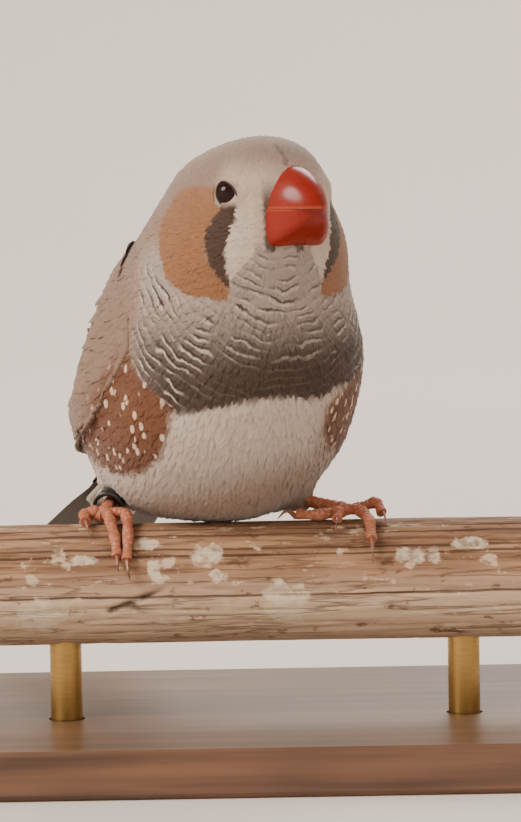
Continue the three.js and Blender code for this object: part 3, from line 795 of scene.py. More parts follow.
# Feathers
class Bed:
    """A surface as the coat's bed: points on it, its nearest place and outward way."""

    def __init__(self, skin):
        points = to_bird(points_of(skin))
        mesh = skin.data
        self.tree = BVHTree.FromPolygons(points.tolist(), [tuple(f.vertices) for f in mesh.polygons])
        mesh.calc_loop_triangles()
        self.corners = points[read_numbers(mesh.loop_triangles, "vertices", np.int32)]
        edges = np.cross(self.corners[:, 1] - self.corners[:, 0], self.corners[:, 2] - self.corners[:, 0])
        size = np.linalg.norm(edges, axis=1)
        self.area = size / 2
        self.normals = edges / size[:, None]

    def scatter(self, count, draw):
        share = self.area / self.area.sum()
        chosen = draw.choice(len(share), size=count, p=share)
        u = draw.random(count)
        v = draw.random(count)
        fold = u + v > 1
        u[fold], v[fold] = 1 - u[fold], 1 - v[fold]
        a, b, c = np.moveaxis(self.corners[chosen], 1, 0)
        return a + (b - a) * u[:, None] + (c - a) * v[:, None], self.normals[chosen]

    def nearest(self, points):
        found = [self.tree.find_nearest(p) for p in points.tolist()]
        return np.array([f[0] for f in found]), np.array([f[1] for f in found])

    def reach(self, origin, way, far=40):
        """How far out along a way the surface is, met from outside, or None where it isn't."""
        hit = self.tree.ray_cast(Vector(origin + way * far), Vector(-way))
        return far - hit[3] if hit[0] is not None else None


class BlendedBed:
    """The head's bed, which passes softly into the body's below it."""

    def __init__(self, head, body, own):
        self.head = head
        self.body = body
        self.scatter = own.scatter

    def nearest(self, points):
        share = ease(2.5, -1.0, head_depth(points))[:, None]
        head, head_way = self.head.nearest(points)
        body, body_way = self.body.nearest(points)
        return head + (body - head) * share, unit(head_way + (body_way - head_way) * share)


def spaced(points, spacing, limit):
    """Indices of points that keep at least the spacing, taken in the order given."""
    cells = {}
    kept = []
    keys = np.floor(points / spacing).astype(int).tolist()
    places = points.tolist()
    square = spacing * spacing
    near = [(i, j, k) for i in (-1, 0, 1) for j in (-1, 0, 1) for k in (-1, 0, 1)]
    for index, (kx, ky, kz) in enumerate(keys):
        x, y, z = places[index]
        clear = True
        for i, j, k in near:
            for ox, oy, oz in cells.get((kx + i, ky + j, kz + k), ()):
                if (x - ox) ** 2 + (y - oy) ** 2 + (z - oz) ** 2 < square:
                    clear = False
                    break
            if not clear:
                break
        if clear:
            cells.setdefault((kx, ky, kz), []).append((x, y, z))
            kept.append(index)
            if len(kept) >= limit:
                break
    return kept


def lie(points, normals):
    """The way feathers point: away from the bill, along the surface, and parted round the eyes."""
    away = unit(points - LIE_SOURCE)
    away[:, 0] -= 0.25 * ease(12, 0, points[:, 0])
    for eye in EYES.values():
        off = points - eye["centre"]
        reach = np.linalg.norm(off, axis=1)
        away += off / reach[:, None] * (1.3 * ease(3.6, 1.7, reach))[:, None]
    along = away - normals * (away * normals).sum(1, keepdims=True)
    return unit(along)


# Shares of a small feather's length and its half width there
SHORT_ROWS = np.array([0, 0.35, 0.72, 1.0])
SHORT_HALF = np.array([0.55, 1.0, 0.85, 0.3])
SHORT_ACROSS = np.array([-1, 0, 1.0])


def vane_faces(rows, columns):
    """Faces of one closed vane whose top is a grid and whose underside joins its two edges."""
    top = []
    under = []
    for r in range(rows - 1):
        a = r * columns
        for c in range(columns - 1):
            top.append((a + c, a + c + 1, a + columns + c + 1, a + columns + c))
        under.append((a + columns - 1, a, a + columns, a + 2 * columns - 1))
    last = (rows - 1) * columns
    under.append(tuple(range(columns))[::-1])
    under.append(tuple(range(last, last + columns)))
    return top, under


def faces_in(grid):
    """Whether the grid's own order turns the tops of the vanes inwards."""
    row, column = grid.shape[1] // 2, grid.shape[2] // 2
    left, middle, right = grid[:, row, 0], grid[:, row, column], grid[:, row, -1]
    ahead = grid[:, row + 1, column] - middle
    return (np.cross(right - left, ahead) * (middle - (left + right) / 2)).sum() < 0


def joined_vanes(name, grid, local, bake, attributes, facing=None):
    """One mesh from many vanes. grid is vanes x rows x columns x 3 in the bird's frame."""
    count, rows, columns, _ = grid.shape
    top, under = vane_faces(rows, columns)
    faces = top + under
    if faces_in(grid):
        faces = [face[::-1] for face in faces]
    sizes = np.array([len(f) for f in faces])
    corners = np.concatenate([np.array(f) for f in faces])
    loops = (corners[None, :] + (np.arange(count) * rows * columns)[:, None]).ravel()
    starts = np.concatenate([[0], np.cumsum(np.tile(sizes, count))[:-1]])
    points = to_world(grid.reshape(-1, 3)) * MM
    mesh = bpy.data.meshes.new(name)
    mesh.vertices.add(len(points))
    mesh.vertices.foreach_set("co", points.astype(np.float32).ravel())
    mesh.loops.add(len(loops))
    mesh.loops.foreach_set("vertex_index", loops.astype(np.int32))
    mesh.polygons.add(len(starts))
    mesh.polygons.foreach_set("loop_start", starts.astype(np.int32))
    mesh.update(calc_edges=True)
    mesh.polygons.foreach_set("use_smooth", np.tile([True] * len(top) + [False] * len(under), count))
    if facing is not None:
        on_top = np.repeat([1, 0], [4 * len(top), len(corners) - 4 * len(top)])
        ways = (facing.reshape(-1, 3) @ BIRD_TURN.T)[loops] * np.tile(on_top, count)[:, None]
        mesh.normals_split_custom_set(ways.tolist())
    for map_name, uv in (("OFBake", bake), ("Vane", local)):
        write_map(mesh, map_name, uv.reshape(-1, 2), loops)
    for key, values in attributes.items():
        write_attribute(mesh, key, values)
    return put(name, mesh)


def vane_places(count, shares, columns):
    """Each vane's own places: across it from 0 to 1, and along it by the shares of its length."""
    across = np.tile(np.linspace(0, 1, columns), len(shares))
    along = np.repeat(shares, columns)
    return np.tile(np.stack([across, along], 1), (count, 1)).reshape(count, -1, 2)


def skin_map(points, centre, pole, widest):
    """A round unwrap of the skin seen from inside: the angle from the pole is the radius."""
    pole = unit(np.array(pole))
    side = unit(np.cross(pole, [0.1, 1.0, 0.2]))
    other = np.cross(pole, side)
    way = unit(points - np.array(centre))
    far = np.degrees(np.arccos(np.clip(way @ pole, -1, 1))) / widest
    round_ = np.arctan2(way @ other, way @ side)
    return 0.5 + 0.48 * far[:, None] * np.stack([np.cos(round_), np.sin(round_)], 1)


def coat_roots(form, hull, wings, draw):
    """Where the feathers of a region grow, and the way each points."""
    points, normals = hull.scatter(form["tries"], draw)
    inside = form["where"](points)
    points, normals = points[inside], normals[inside]
    kept = spaced(points, form["spacing"], form["most"])
    roots, normals = points[kept], normals[kept]
    way = lie(roots, normals)
    swing = np.radians(draw.normal(0, form["swing"], len(roots)))[:, None]
    way = unit(way * np.cos(swing) + np.cross(normals, way) * np.sin(swing))
    tips = roots + way * form["length"] * 0.9
    keep = clear_of_hard_parts(roots) & clear_of_wings(roots, normals, wings, draw)
    keep &= ~in_eye_opening(roots, LID["root_margin"]) & ~in_eye_opening(tips, LID["tip_margin"])
    return roots[keep], way[keep]


def coat(name, form, hull, wings, paint, draw):
    """A field of small feathers over one region of the body."""
    roots, way = coat_roots(form, hull, wings, draw)
    grid, facing = lay_vanes(roots, way, form, hull, draw)
    count, rows, columns, _ = grid.shape
    middle = roots + way * (form["length"] * 0.7)
    middle += draw.normal(0, form["spacing"] * 0.16, (count, 3))
    asked = grid * 0.4 + middle[:, None, None, :] * 0.6
    rgb, bars, spots = markings(asked.reshape(-1, 3))
    tone = np.repeat(draw.random(count), rows * columns)
    local = vane_places(count, SHORT_ROWS, columns)
    place = skin_map(roots, form["centre"], form["pole"], form["widest"])
    bake = place[:, None, :] + (local - 0.5) * PATCH
    attributes = {"marking": marked(rgb, bars), "spots": spots[:, None], "tone": tone[:, None]}
    finish_piece(joined_vanes(name, grid, local, bake, attributes, facing), paint, form["slot"])


def lay_vanes(roots, way, form, hull, draw):
    """Points of each feather, row by row along the surface, and the way each point faces."""
    shares, halves, across = SHORT_ROWS, SHORT_HALF, SHORT_ACROSS
    count = len(roots)
    size = draw.normal(1, 0.09, count)
    length = form["length"] * size
    width = form["width"] * size * draw.normal(1, 0.08, count)
    lift = form["lift"] * draw.normal(1, 0.25, count)
    for eye in EYES.values():
        lift *= ease(1.2, 3.4, np.linalg.norm(roots - eye["centre"], axis=1))
    along, angle = wing_places(roots)
    over_wing = ease(-5, 3, along - np.interp(angle, *WING_FRONT)) * ease(74, 58, angle)
    over_wing *= 1 - 0.4 * ease(-6, 0, along - cover_end(angle))
    grid = np.zeros((count, len(shares), len(across), 3))
    facing = np.zeros_like(grid)
    centre = roots.copy()
    before = 0.0
    for r, share in enumerate(shares):
        centre = centre + way * (length * (share - before))[:, None]
        before = share
        place, found = hull.nearest(centre)
        way = unit(way - found * (way * found).sum(1, keepdims=True))
        side = np.cross(found, way)
        height = -0.08 + lift * share ** 0.8 + 0.45 * over_wing
        centre = place
        for c, u in enumerate(across):
            half = width / 2 * halves[r]
            back = length * (draw.normal(0, 0.05, count) * (share > 0.7) - 0.1 * u * u * share ** 2)
            rise = height - form["camber"] * width * u * u * 0.5 * halves[r]
            offset = side * (u * half)[:, None] + way * back[:, None] + found * rise[:, None]
            grid[:, r, c] = place + offset
            facing[:, r, c] = unit(found + side * (0.12 * u) + way * (0.14 * (share - 0.55)))
    return grid, facing


def in_bill(points, grow_by):
    """Places within the bill's outline, enlarged by a factor."""
    h = to_head(points)
    u = np.clip((h[:, 0] - BILL["base"]) / (BILL["tip"] - BILL["base"]), 0, 1)
    half = BILL["half"] * (1 - u ** 1.9) ** 0.75 + 0.01
    upper = h[:, 2] > BILL["mouth"]
    height = np.where(upper, BILL["culmen"] - BILL["mouth"], BILL["mouth"] - BILL["keel"])
    rise = height * (1 - u ** 2) ** 0.8 + 0.01
    away = ((h[:, 1] - BILL["aside"]) / half) ** 2 + ((h[:, 2] - BILL["mouth"]) / rise) ** 2
    return (away < grow_by ** 2) & (h[:, 0] > BILL["base"])


def clear_of_hard_parts(points):
    """Roots that don't lie under the bill, in the forehead's parting or in the leg ring's pocket."""
    x, y, z = to_head(points).T
    keep = ~in_bill(points, 0.92)
    keep &= ~((np.abs(y - PARTING["aside"]) < 0.2) & (z > 6) & (z < 9) & (x > PARTING["front"]))
    for leg in LEGS.values():
        ankle = to_bird(on_perch(*leg["foot"]))
        way = heel_way(leg) @ BIRD_TURN
        along = (points - ankle) @ way
        off = np.linalg.norm(points - ankle - along[:, None] * way, axis=1)
        keep &= ~((off < leg["room"]) & (along < leg["room_end"]))
    return keep


def wing_places(points):
    """How far along a folded wing's axis the points are, and their angle round it."""
    way = unit(WING_AXIS[1] - WING_AXIS[0])
    up = unit(np.cross([0, 1, 0], way))
    off = points - WING_AXIS[0]
    along = off @ way
    return along, np.degrees(np.arctan2(off @ up, np.abs(off[:, 1])))


def cover_end(angle):
    """How far along the wing's axis small feathers cover it, by the angle round it."""
    past = np.interp(angle, [-4, 14], [9, 4])
    return np.maximum(np.interp(angle, *WING_FRONT) + past, 14)


def clear_of_wings(points, normals, wings, draw):
    """Roots off the wings' long feathers: off the wings, inside their edges, on the shoulders or the back."""
    along, angle = wing_places(points)
    way = unit(WING_AXIS[1] - WING_AXIS[0])
    away = points - WING_AXIS[0] - along[:, None] * way
    inner = ((unit(away) * normals).sum(1) < 0.35) & (angle > 20)
    gap = np.linalg.norm(points - wings.nearest(points)[0], axis=1)
    end = cover_end(angle) + draw.normal(0, 0.9, len(points))
    return (gap > 0.6) | (along < end) | (angle > 66) | inner


def eye_frame(eye):
    """The eye's outward way, the way its opening is long, and the way across that."""
    out = unit(unit(eye["centre"] - head_to_bird([2.5, 0, 3.2])) + 0.26 * HEAD_TURN[:, 0])
    up = unit(np.array([0, 0, 1.0]) - out * out[2])
    back = np.cross(up, out) * (1 if eye["centre"][1] > 0 else -1)
    lean = math.radians(LID["lean"])
    long = up * math.cos(lean) + back * math.sin(lean)
    return out, long, np.cross(long, out)


def in_eye_opening(points, margin):
    inside = np.zeros(len(points), bool)
    for eye in EYES.values():
        out, long, short = eye_frame(eye)
        off = points - eye["centre"]
        along = off @ long / (LID["long"] + margin)
        across = off @ short / (LID["short"] + margin)
        inside |= (np.hypot(along, across) < 1) & (off @ out > 0)
    return inside


def eye_centre(node):
    low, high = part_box(node)
    return np.array((low + high) / 2) / MM


def on_perch(x, angle, lift):
    """A place on the perch: X, the angle from the top towards the front, and the height over it."""
    reach = PERCH_RADIUS + 0.3 + lift
    a = math.radians(angle)
    return np.array([x, PERCH_Y - reach * math.sin(a), PERCH_Z + reach * math.cos(a)])


EYES = {side: {"centre": to_bird(eye_centre("eye_" + side))} for side in ("right", "left")}


def head_depth(p):
    """How far places lie inside the head's own part of the coat, in millimetres."""
    h = to_head(p)
    return np.minimum(h[:, 2] + 9.8, (h[:, 2] + 0.9 * h[:, 0] + 8) / 1.35)


def head_region(p):
    return head_depth(p) > 0


# Coat regions: where, how close, how long, how wide and how high the feathers stand
COATS = {
    "coat_face": {
        "slot": "head_plumage", "spacing": 0.34, "most": 6800, "tries": 160000, "blended": True,
        "length": 1.35, "width": 0.62, "lift": 0.13, "camber": 0.12, "swing": 9,
        "where": lambda p: head_region(p) & (to_head(p)[:, 0] > 1),
        "centre": (6, -0.8, 37), "pole": (1, -0.2, 0.3), "widest": 150,
    },
    "coat_crown": {
        "slot": "head_plumage", "spacing": 0.4, "most": 6800, "tries": 120000, "blended": True,
        "length": 1.7, "width": 0.75, "lift": 0.15, "camber": 0.12, "swing": 9,
        "where": lambda p: head_region(p) & (to_head(p)[:, 0] <= 1),
        "centre": (6, -0.8, 37), "pole": (-1, 0, 0.5), "widest": 150,
    },
    "coat_breast": {
        "slot": "neck_plumage", "spacing": 0.44, "most": 8000, "tries": 160000, "blended": True,
        "length": 2.0, "width": 0.85, "lift": 0.18, "camber": 0.12, "swing": 9,
        "where": lambda p: (head_depth(p) < 0.8) & (p[:, 0] > 0) & (p[:, 2] > 14),
        "centre": (0, 0, 24), "pole": (1, 0, 0), "widest": 110,
    },
    "coat_belly": {
        "slot": "body_plumage", "spacing": 0.44, "most": 8000, "tries": 140000, "blended": False,
        "length": 2.6, "width": 0.75, "lift": 0.2, "camber": 0.1, "swing": 12,
        "where": lambda p: (p[:, 2] <= 14) & (p[:, 0] > -8),
        "centre": (-2, 0, 16), "pole": (0.5, 0, -1), "widest": 110,
    },
    "coat_vent": {
        "slot": "body_plumage", "spacing": 0.55, "most": 7000, "tries": 120000, "blended": False,
        "length": 3.0, "width": 1.0, "lift": 0.26, "camber": 0.1, "swing": 12,
        "where": lambda p: (p[:, 2] <= 14) & (p[:, 0] <= -8),
        "centre": (-14, 0, 14), "pole": (-0.6, 0, -1), "widest": 140,
    },
    "coat_back": {
        "slot": "body_plumage", "spacing": 0.6, "most": 5600, "tries": 120000, "blended": True,
        "length": 2.8, "width": 1.3, "lift": 0.22, "camber": 0.1, "swing": 7,
        "where": lambda p: (head_depth(p) < 2) & (p[:, 0] <= 0.5) & (p[:, 2] > 14),
        "centre": (-6, 0, 20), "pole": (-0.7, 0, 0.7), "widest": 150,
    },
}


def make_coats(skin, cores, paint):
    wings = join([twin(core) for core in cores])
    wings_bed = Bed(wings)
    bpy.data.objects.remove(wings)
    beds = {
        "head": make_hull([twin(skin)] + eye_mounds(LID["hull"]), HULL["head_close"]),
        "body": make_hull([twin(skin)] + [twin(core) for core in cores], HULL["body_close"]),
    }
    draw = np.random.default_rng(SEED)
    for name, form in COATS.items():
        own = beds["head" if form["slot"] == "head_plumage" else "body"]
        bed = BlendedBed(beds["head"], beds["body"], own) if form["blended"] else own
        coat(name, form, bed, wings_bed, paint, draw)
    dress_skin(skin, paint)


def dress_skin(skin, paint):
    points = to_bird(points_of(skin))
    rgb, bars, _ = markings(points)
    mesh = skin.data
    write_attribute(mesh, "marking", marked(rgb, bars))
    for key, value in (("spots", 0.0), ("tone", 0.5)):
        write_attribute(mesh, key, np.full((len(points), 1), value))
    corners = read_numbers(mesh.loops, "vertex_index", np.int32, 1).ravel()
    uv = skin_map(points, (0, 0, 24), (1, 0, 0.2), 180)
    for name in ("OFBake", "Vane"):
        write_map(mesh, name, uv, corners)
    finish_piece(skin, paint, "body_plumage", "torso", "neck", "head")


# Wings: places are given along the wing's axis and by the angle round it, on the solids' surface
def around(table):
    """The sum of each place in a table and the eight next to it, with its edges repeated."""
    padded = np.pad(table, 1, mode="edge")
    rows, columns = table.shape
    return sum(padded[i:i + rows, j:j + columns] for i in range(3) for j in range(3))


def mended(table):
    """A table with its gaps filled from beside them, then smoothed."""
    for _ in range(60):
        known = (table > 0).astype(float)
        beside = around(table * known) / np.maximum(around(known), 1)
        table = np.where(table > 0, table, beside)
    for _ in range(3):
        table = around(table) / 9
    return table


class WingSurface:
    """The outer surface of a folded wing, as a smoothed table of distances from its axis."""

    def __init__(self, side, bed, core):
        shell = Bed(core)
        self.side = side
        self.start = WING_AXIS[0]
        self.way = unit(WING_AXIS[1] - WING_AXIS[0])
        self.up = unit(np.cross([0, 1, 0], self.way))
        self.along = np.arange(0, 58, 1.0)
        self.angle = np.arange(-36, 96, 3.0)
        table = np.zeros((len(self.along), len(self.angle)))
        for i, s in enumerate(self.along):
            for j, a in enumerate(self.angle):
                table[i, j] = self.height_of(shell, bed, self.start + self.way * s, self.outwards(a))
        self.table = mended(table)

    @staticmethod
    def height_of(shell, bed, origin, way):
        """How far out the wing is there, or a little over the body where the wing isn't."""
        reach = shell.reach(origin, way)
        if reach is not None and reach > 0:
            return reach
        body = bed.reach(origin, way)
        return -1 if body is None else body + 1.2

    def outwards(self, angle):
        a = np.radians(angle)
        return np.stack([0 * a, self.side * np.cos(a), 0 * a], -1) + self.up * np.sin(a)[..., None]

    def place(self, along, angle, height):
        """Points over the wing's surface."""
        i = np.clip(along, self.along[0], self.along[-1] - 1e-3)
        j = np.clip((angle - self.angle[0]) / 3, 0, len(self.angle) - 1.001)
        i0, j0 = np.floor(i).astype(int), np.floor(j).astype(int)
        fi, fj = i - i0, j - j0
        t = self.table
        reach = (t[i0, j0] * (1 - fi) + t[i0 + 1, j0] * fi) * (1 - fj)
        reach += (t[i0, j0 + 1] * (1 - fi) + t[i0 + 1, j0 + 1] * fi) * fj
        return self.start + self.way * along[..., None] + self.outwards(angle) * (reach + height)[..., None]


# Tiers of wing feathers from the lowest to the highest: roots and tips along and round the wing
WING_TIERS = {
    "primaries": {
        "roots": ((24, -11), (24, 4)), "tips": ((55, 6), (40, 7)),
        "count": 8, "width": 3.6, "lift": -0.35, "step": 0.055,
    },
    "secondaries": {
        "roots": ((17, -8), (17, 38)), "tips": ((34, -12), (42, 38)),
        "count": 9, "width": 4.0, "lift": -0.22, "step": 0.05,
    },
    "tertials": {
        "roots": ((14, 44), (13, 66)), "tips": ((42, 44), (33, 66)),
        "count": 3, "width": 6.4, "lift": 0.12, "step": 0.1,
    },
    "greater_coverts": {
        "roots": ((13, 0), (12, 58)), "tips": ((24, -8), (24, 62)),
        "count": 10, "width": 3.4, "lift": 0.0, "step": 0.03,
    },
    "median_coverts": {
        "roots": ((9.5, 4), (9, 52)), "tips": ((17, -2), (17.5, 58)),
        "count": 11, "width": 3.0, "lift": 0.05, "step": 0.02,
    },
}


def wing_vanes(surface, draw):
    grids = []
    tones = []
    for tier in WING_TIERS.values():
        for i in range(tier["count"]):
            f = i / (tier["count"] - 1)
            ends = []
            for a, b in (tier["roots"], tier["tips"]):
                ends.append([a[k] + (b[k] - a[k]) * f for k in range(2)])
            wobble = draw.normal(0, 1, 2) * (0.35, 0.8)
            ends[1] = [ends[1][0] + wobble[0], ends[1][1] + wobble[1]]
            lift = tier["lift"] + tier["step"] * i
            width = tier["width"] * draw.normal(1, 0.04)
            grids.append(wing_vane(surface, *ends, width, lift, draw))
            tones.append(draw.random())
    return np.array(grids), np.array(tones)


def wing_vane(surface, root, tip, width, lift, draw):
    t = np.linspace(0, 1, LONG_ROWS) ** 0.85
    u = np.linspace(-1, 1, LONG_COLUMNS)
    along = root[0] + (tip[0] - root[0]) * t
    angle = root[1] + (tip[1] - root[1]) * t
    axis = surface.start + surface.way * along[:, None]
    radius = np.linalg.norm(surface.place(along, angle, 0 * t) - axis, axis=1)
    end = np.clip((t - 0.8) / 0.2, 0, 1)
    half = width / 2 * np.minimum(1, 0.5 + 1.6 * t) * np.sqrt(np.maximum(1 - 0.9 * end ** 2, 0))
    spread = np.degrees(np.arctan2(half, radius))
    wide = angle[:, None] + u[None, :] * spread[:, None]
    long = np.repeat(along[:, None], LONG_COLUMNS, 1) - 0.9 * (u[None, :] ** 2) * (t ** 4)[:, None]
    long += draw.normal(0, 0.05, long.shape) * (t > 0.95)[:, None]
    rise = lift * np.minimum(1, 0.15 + 2.2 * t)[:, None] - u[None, :] * 0.1 - 0.16 * u[None, :] ** 2
    rise += 0.06 * np.exp(-(u[None, :] / 0.12) ** 2)
    place = surface.place(long, wide, rise)
    return place[:, ::-1] if surface.side < 0 else place


def long_vane_maps(count):
    """The vanes' own places on their patch, and a layout with a cell for each feather."""
    local = vane_places(count, np.linspace(0, 1, LONG_ROWS), LONG_COLUMNS)
    columns = int(math.ceil(math.sqrt(count * 4)))
    rows = int(math.ceil(count / columns))
    index = np.arange(count)
    cell = np.stack([index % columns, index // columns], 1)[:, None, :]
    return local, (cell + 0.08 + local * 0.84) / np.array([columns, rows])


def long_feathers(name, grid, tones):
    local, bake = long_vane_maps(len(grid))
    tone = np.repeat(tones, LONG_ROWS * LONG_COLUMNS)[:, None]
    return joined_vanes(name, grid, local, bake, {"tone": tone})


def make_core(name, bed):
    """The wing's solid body, a little inside its vanes, with its front laid down on the body."""
    core = copy_of(name)
    core.name = name + "_core"
    remesh(core, CORE["voxel"])
    relax(core, CORE["relax"])
    grow(core, -CORE["inset"])
    points = to_bird(points_of(core))
    ground = bed.nearest(points)[0]
    along, angle = wing_places(points)
    flat = (1 - ease(-18, 6, angle)) * ease(46, 34, along)
    top = ease(20, 45, angle) * ease(34, 22, along)
    keep = (0.12 + 0.88 * ease(3, 20, along)) * (1 - 0.35 * flat) * (1 - 0.35 * top)
    set_points(core, to_world(ground + (points - ground) * keep[:, None]))
    smooth_shade(core)
    core.data.uv_layers.new(name="Vane")
    return core


def make_wing(side, bed, core, paint, draw):
    name = "wing_left" if side > 0 else "wing_right"
    surface = WingSurface(side, bed, core)
    grow(core, -CORE["under_vanes"])
    grids, tones = wing_vanes(surface, draw)
    finish_piece(long_feathers(name + "_feathers", grids, tones), paint, "wing_plumage")
    finish_piece(core, paint, "wing_plumage", name)


# Tail
def tail_vane(turned, root, length, width, roll, droop, draw, camber=0.12):
    t = np.linspace(0, 1, LONG_ROWS) ** 0.9
    u = np.linspace(-1, 1, LONG_COLUMNS)
    a = math.radians(turned)
    r = math.radians(roll)
    way = np.array([-math.cos(a), math.sin(a), 0])
    normal = np.array([0, -math.sin(r), math.cos(r)])
    across = unit(np.cross(normal, way))
    end = np.clip((t - 0.88) / 0.12, 0, 1)
    half = width / 2 * np.minimum(1, 0.5 + 1.2 * t) * np.sqrt(np.maximum(1 - 0.92 * end ** 2, 0))
    frayed = draw.normal(0, 0.05, (LONG_ROWS, LONG_COLUMNS)) * (t > 0.96)[:, None]
    shift = -0.5 * u[None, :] ** 2 * (t ** 5)[:, None] + frayed
    rise = -droop * (t ** 2)[:, None] - camber * u[None, :] ** 2 + 0.07 * np.exp(-(u[None, :] / 0.12) ** 2)
    points = np.array(root) + way * (length * t)[:, None, None] + across * (half[:, None] * u)[..., None]
    return points + way * shift[..., None] + normal * rise[..., None]


def tail_to_bird(points):
    frame_turn = turn("Z", TAIL_YAW) @ turn("Y", -TAIL_PITCH)
    return points @ frame_turn.T + TAIL_ROOT


def tail_quills(draw):
    vanes = []
    for i in range(TAIL["feathers"]):
        k = i - (TAIL["feathers"] - 1) / 2
        root = (0, k * TAIL["root_step"], -abs(k) * TAIL["step"])
        length = TAIL["length"] - 0.35 * abs(k) + draw.normal(0, 0.15)
        turned = k * TAIL["fan"] + draw.normal(0, 0.25)
        vanes.append(tail_vane(turned, root, length, TAIL["width"], draw.normal(0, 1.5), 0, draw))
    return vanes


def tail_coverts(draw):
    """Three rows of short feathers over the tail's root, and as many under it."""
    upper = []
    under = []
    for row in range(3):
        for i in range(6):
            k = i - 2.5 + 0.25 * (-1) ** row
            length = 19 - 1.3 * abs(k) - 4.6 * row + draw.normal(0, 0.3)
            root = (2, k * 1.45, 1.2 - 0.3 * abs(k) + 0.16 * row)
            upper.append(tail_vane(k * 2.4, root, length, 3.4, -k * 7, 0.7, draw, 0.3))
            root = (2, k * 1.45, 0.34 * abs(k) - 2.7 - 0.1 * row)
            under.append(tail_vane(k * 2.4, root, length - 2, 3.4, 180 + k * 7, -0.6, draw, 0.3))
    return upper, under


def make_tail(draw):
    quills = tail_quills(draw)
    upper, under = tail_coverts(draw)
    quill_paint = vane_paint("tail_quill", srgb(84, 65, 53), srgb(142, 120, 102), srgb(60, 46, 38), 0.07)
    under_paint = vane_paint("undertail", PAINT["rump"], PAINT["white"], srgb(200, 184, 168))
    groups = {
        "tail_feathers": (quills, quill_paint, ["tail"]),
        "tail_coverts_upper": (upper, covert_paint(), []),
        "tail_coverts_under": (under, under_paint, []),
    }
    for name, (vanes, paint, nodes) in groups.items():
        grid = tail_to_bird(np.array(vanes))
        piece = long_feathers(name, grid, draw.random(len(grid)))
        finish_piece(piece, paint, "tail_plumage", *nodes)


def covert_paint():
    """Black uppertail coverts with broad white bars."""
    finish = Finish("uppertail_covert")
    aside, along = finish.vane()
    wander = finish.grain(300.0, 2.0)
    share = abs((along * 4.2 + wander * 0.5).maths("FRACT") - 0.5)
    white = share.remap(0.3, 0.2) * aside.remap(0.05, 0.12)
    finish.bump(wander, 0.3, 0.1)
    return finish.done(
        finish.mix(white, PAINT["black"], PAINT["white"]), roughness=0.75, specular=0.25, sheen=0.1
    )


# Bill
def bill_half(form):
    mouth = BILL["mouth"] + form["side"] * BILL["gap"] / 2
    length = BILL["tip"] - form["short"] - BILL["base"]
    height = form["crown"] - mouth
    rings = []
    for i in range(BILL["rings"] + 1):
        u = math.sin(i / BILL["rings"] * math.pi / 2) ** 0.9
        edge = mouth + BILL["droop"] * u * u
        rise = height * (1 - u ** form["rise"]) ** 0.8 + math.copysign(BILL["blunt"], height)
        half = BILL["half"] * (1 - u ** form["narrow"]) ** 0.75 + BILL["blunt"]
        ring = []
        for a in turns(BILL["sides"]):
            up = max(0, math.sin(a)) ** form["square"]
            across = math.copysign(abs(math.cos(a)) ** min(1, form["square"]), math.cos(a))
            y = BILL["aside"] + half * across * (1 + form["flare"] * up) + form["lean"] * up * (1 - u)
            ring.append((BILL["base"] + length * u, y, edge + rise * up))
        rings.append(to_world(head_to_bird(ring)))
    return tube_mesh(rings)


def bill_paint():
    """Red horn under a clear gloss, with a painted highlight as a pale line along the mouth, and faint growth
    ridges.
    """
    finish = Finish("bill_horn")
    cloud = finish.grain(220.0)
    fine = finish.streaks((400, 400, 1400), 4.0)
    height = finish.add("ShaderNodeSeparateXYZ", finish.place, out=2)
    mouth = float(to_world(head_to_bird([0, 0, BILL["mouth"]]))[2] * MM)
    # Painted highlight: a pale line along the mouth, where the two halves meet.
    edge = abs(height - mouth).remap(0.0004, 0.0001)
    colour = finish.mix(cloud, srgb(100, 15, 8), srgb(128, 28, 14))
    colour = finish.mix(fine * 0.15, colour, srgb(186, 62, 34))
    colour = finish.mix(edge * 0.3, colour, srgb(190, 88, 58))
    finish.bump(fine, 0.12, 0.1)
    rough = cloud.remap(0.3, 0.7, 0.2, 0.32)
    return finish.done(colour, roughness=rough, specular=0.2, coat=0.05, coat_rough=0.1)


def make_bill():
    paint = bill_paint()
    for node, form in BILL_HALVES.items():
        piece = new_object(node + "_horn", *bill_half(form))
        outward(piece)
        smooth_shade(piece, 50)
        finish_piece(piece, paint, "bill", node)


# Eyes
def eye_paint():
    finish = Finish("eye_ball")
    colour = finish.mix(finish.grain(600.0, 2.0), srgb(20, 9, 8), srgb(40, 18, 14))
    return finish.done(colour, roughness=0.07, specular=0.16)


def make_eyes(plumage):
    ball_paint = eye_paint()
    for side, eye in EYES.items():
        centre = eye["centre"] - eye_frame(eye)[0] * EYE["sunk"]
        ball = new_ball("eyeball_" + side, EYE["radius"], to_world(centre), 64)
        settle(ball)
        smooth_shade(ball)
        finish_piece(ball, ball_paint, "eye", "eye_" + side)
        rim = new_object("eyelid_" + side, *eyelids(eye, centre))
        outward(rim)
        dress_lids(rim)
        finish_piece(rim, plumage, "head_plumage")


def dress_lids(rim):
    """Dark beads along the opening, and the head's own markings beyond them."""
    rgb = markings(to_bird(points_of(rim)))[0]
    rgb[np.arange(len(rgb)) % LID["points"] < LID["beaded"]] = PAINT["lid"]
    write_attribute(rim.data, "marking", marked(rgb, np.zeros(len(rgb))))
    rim.data.uv_layers.new(name="OFBake")


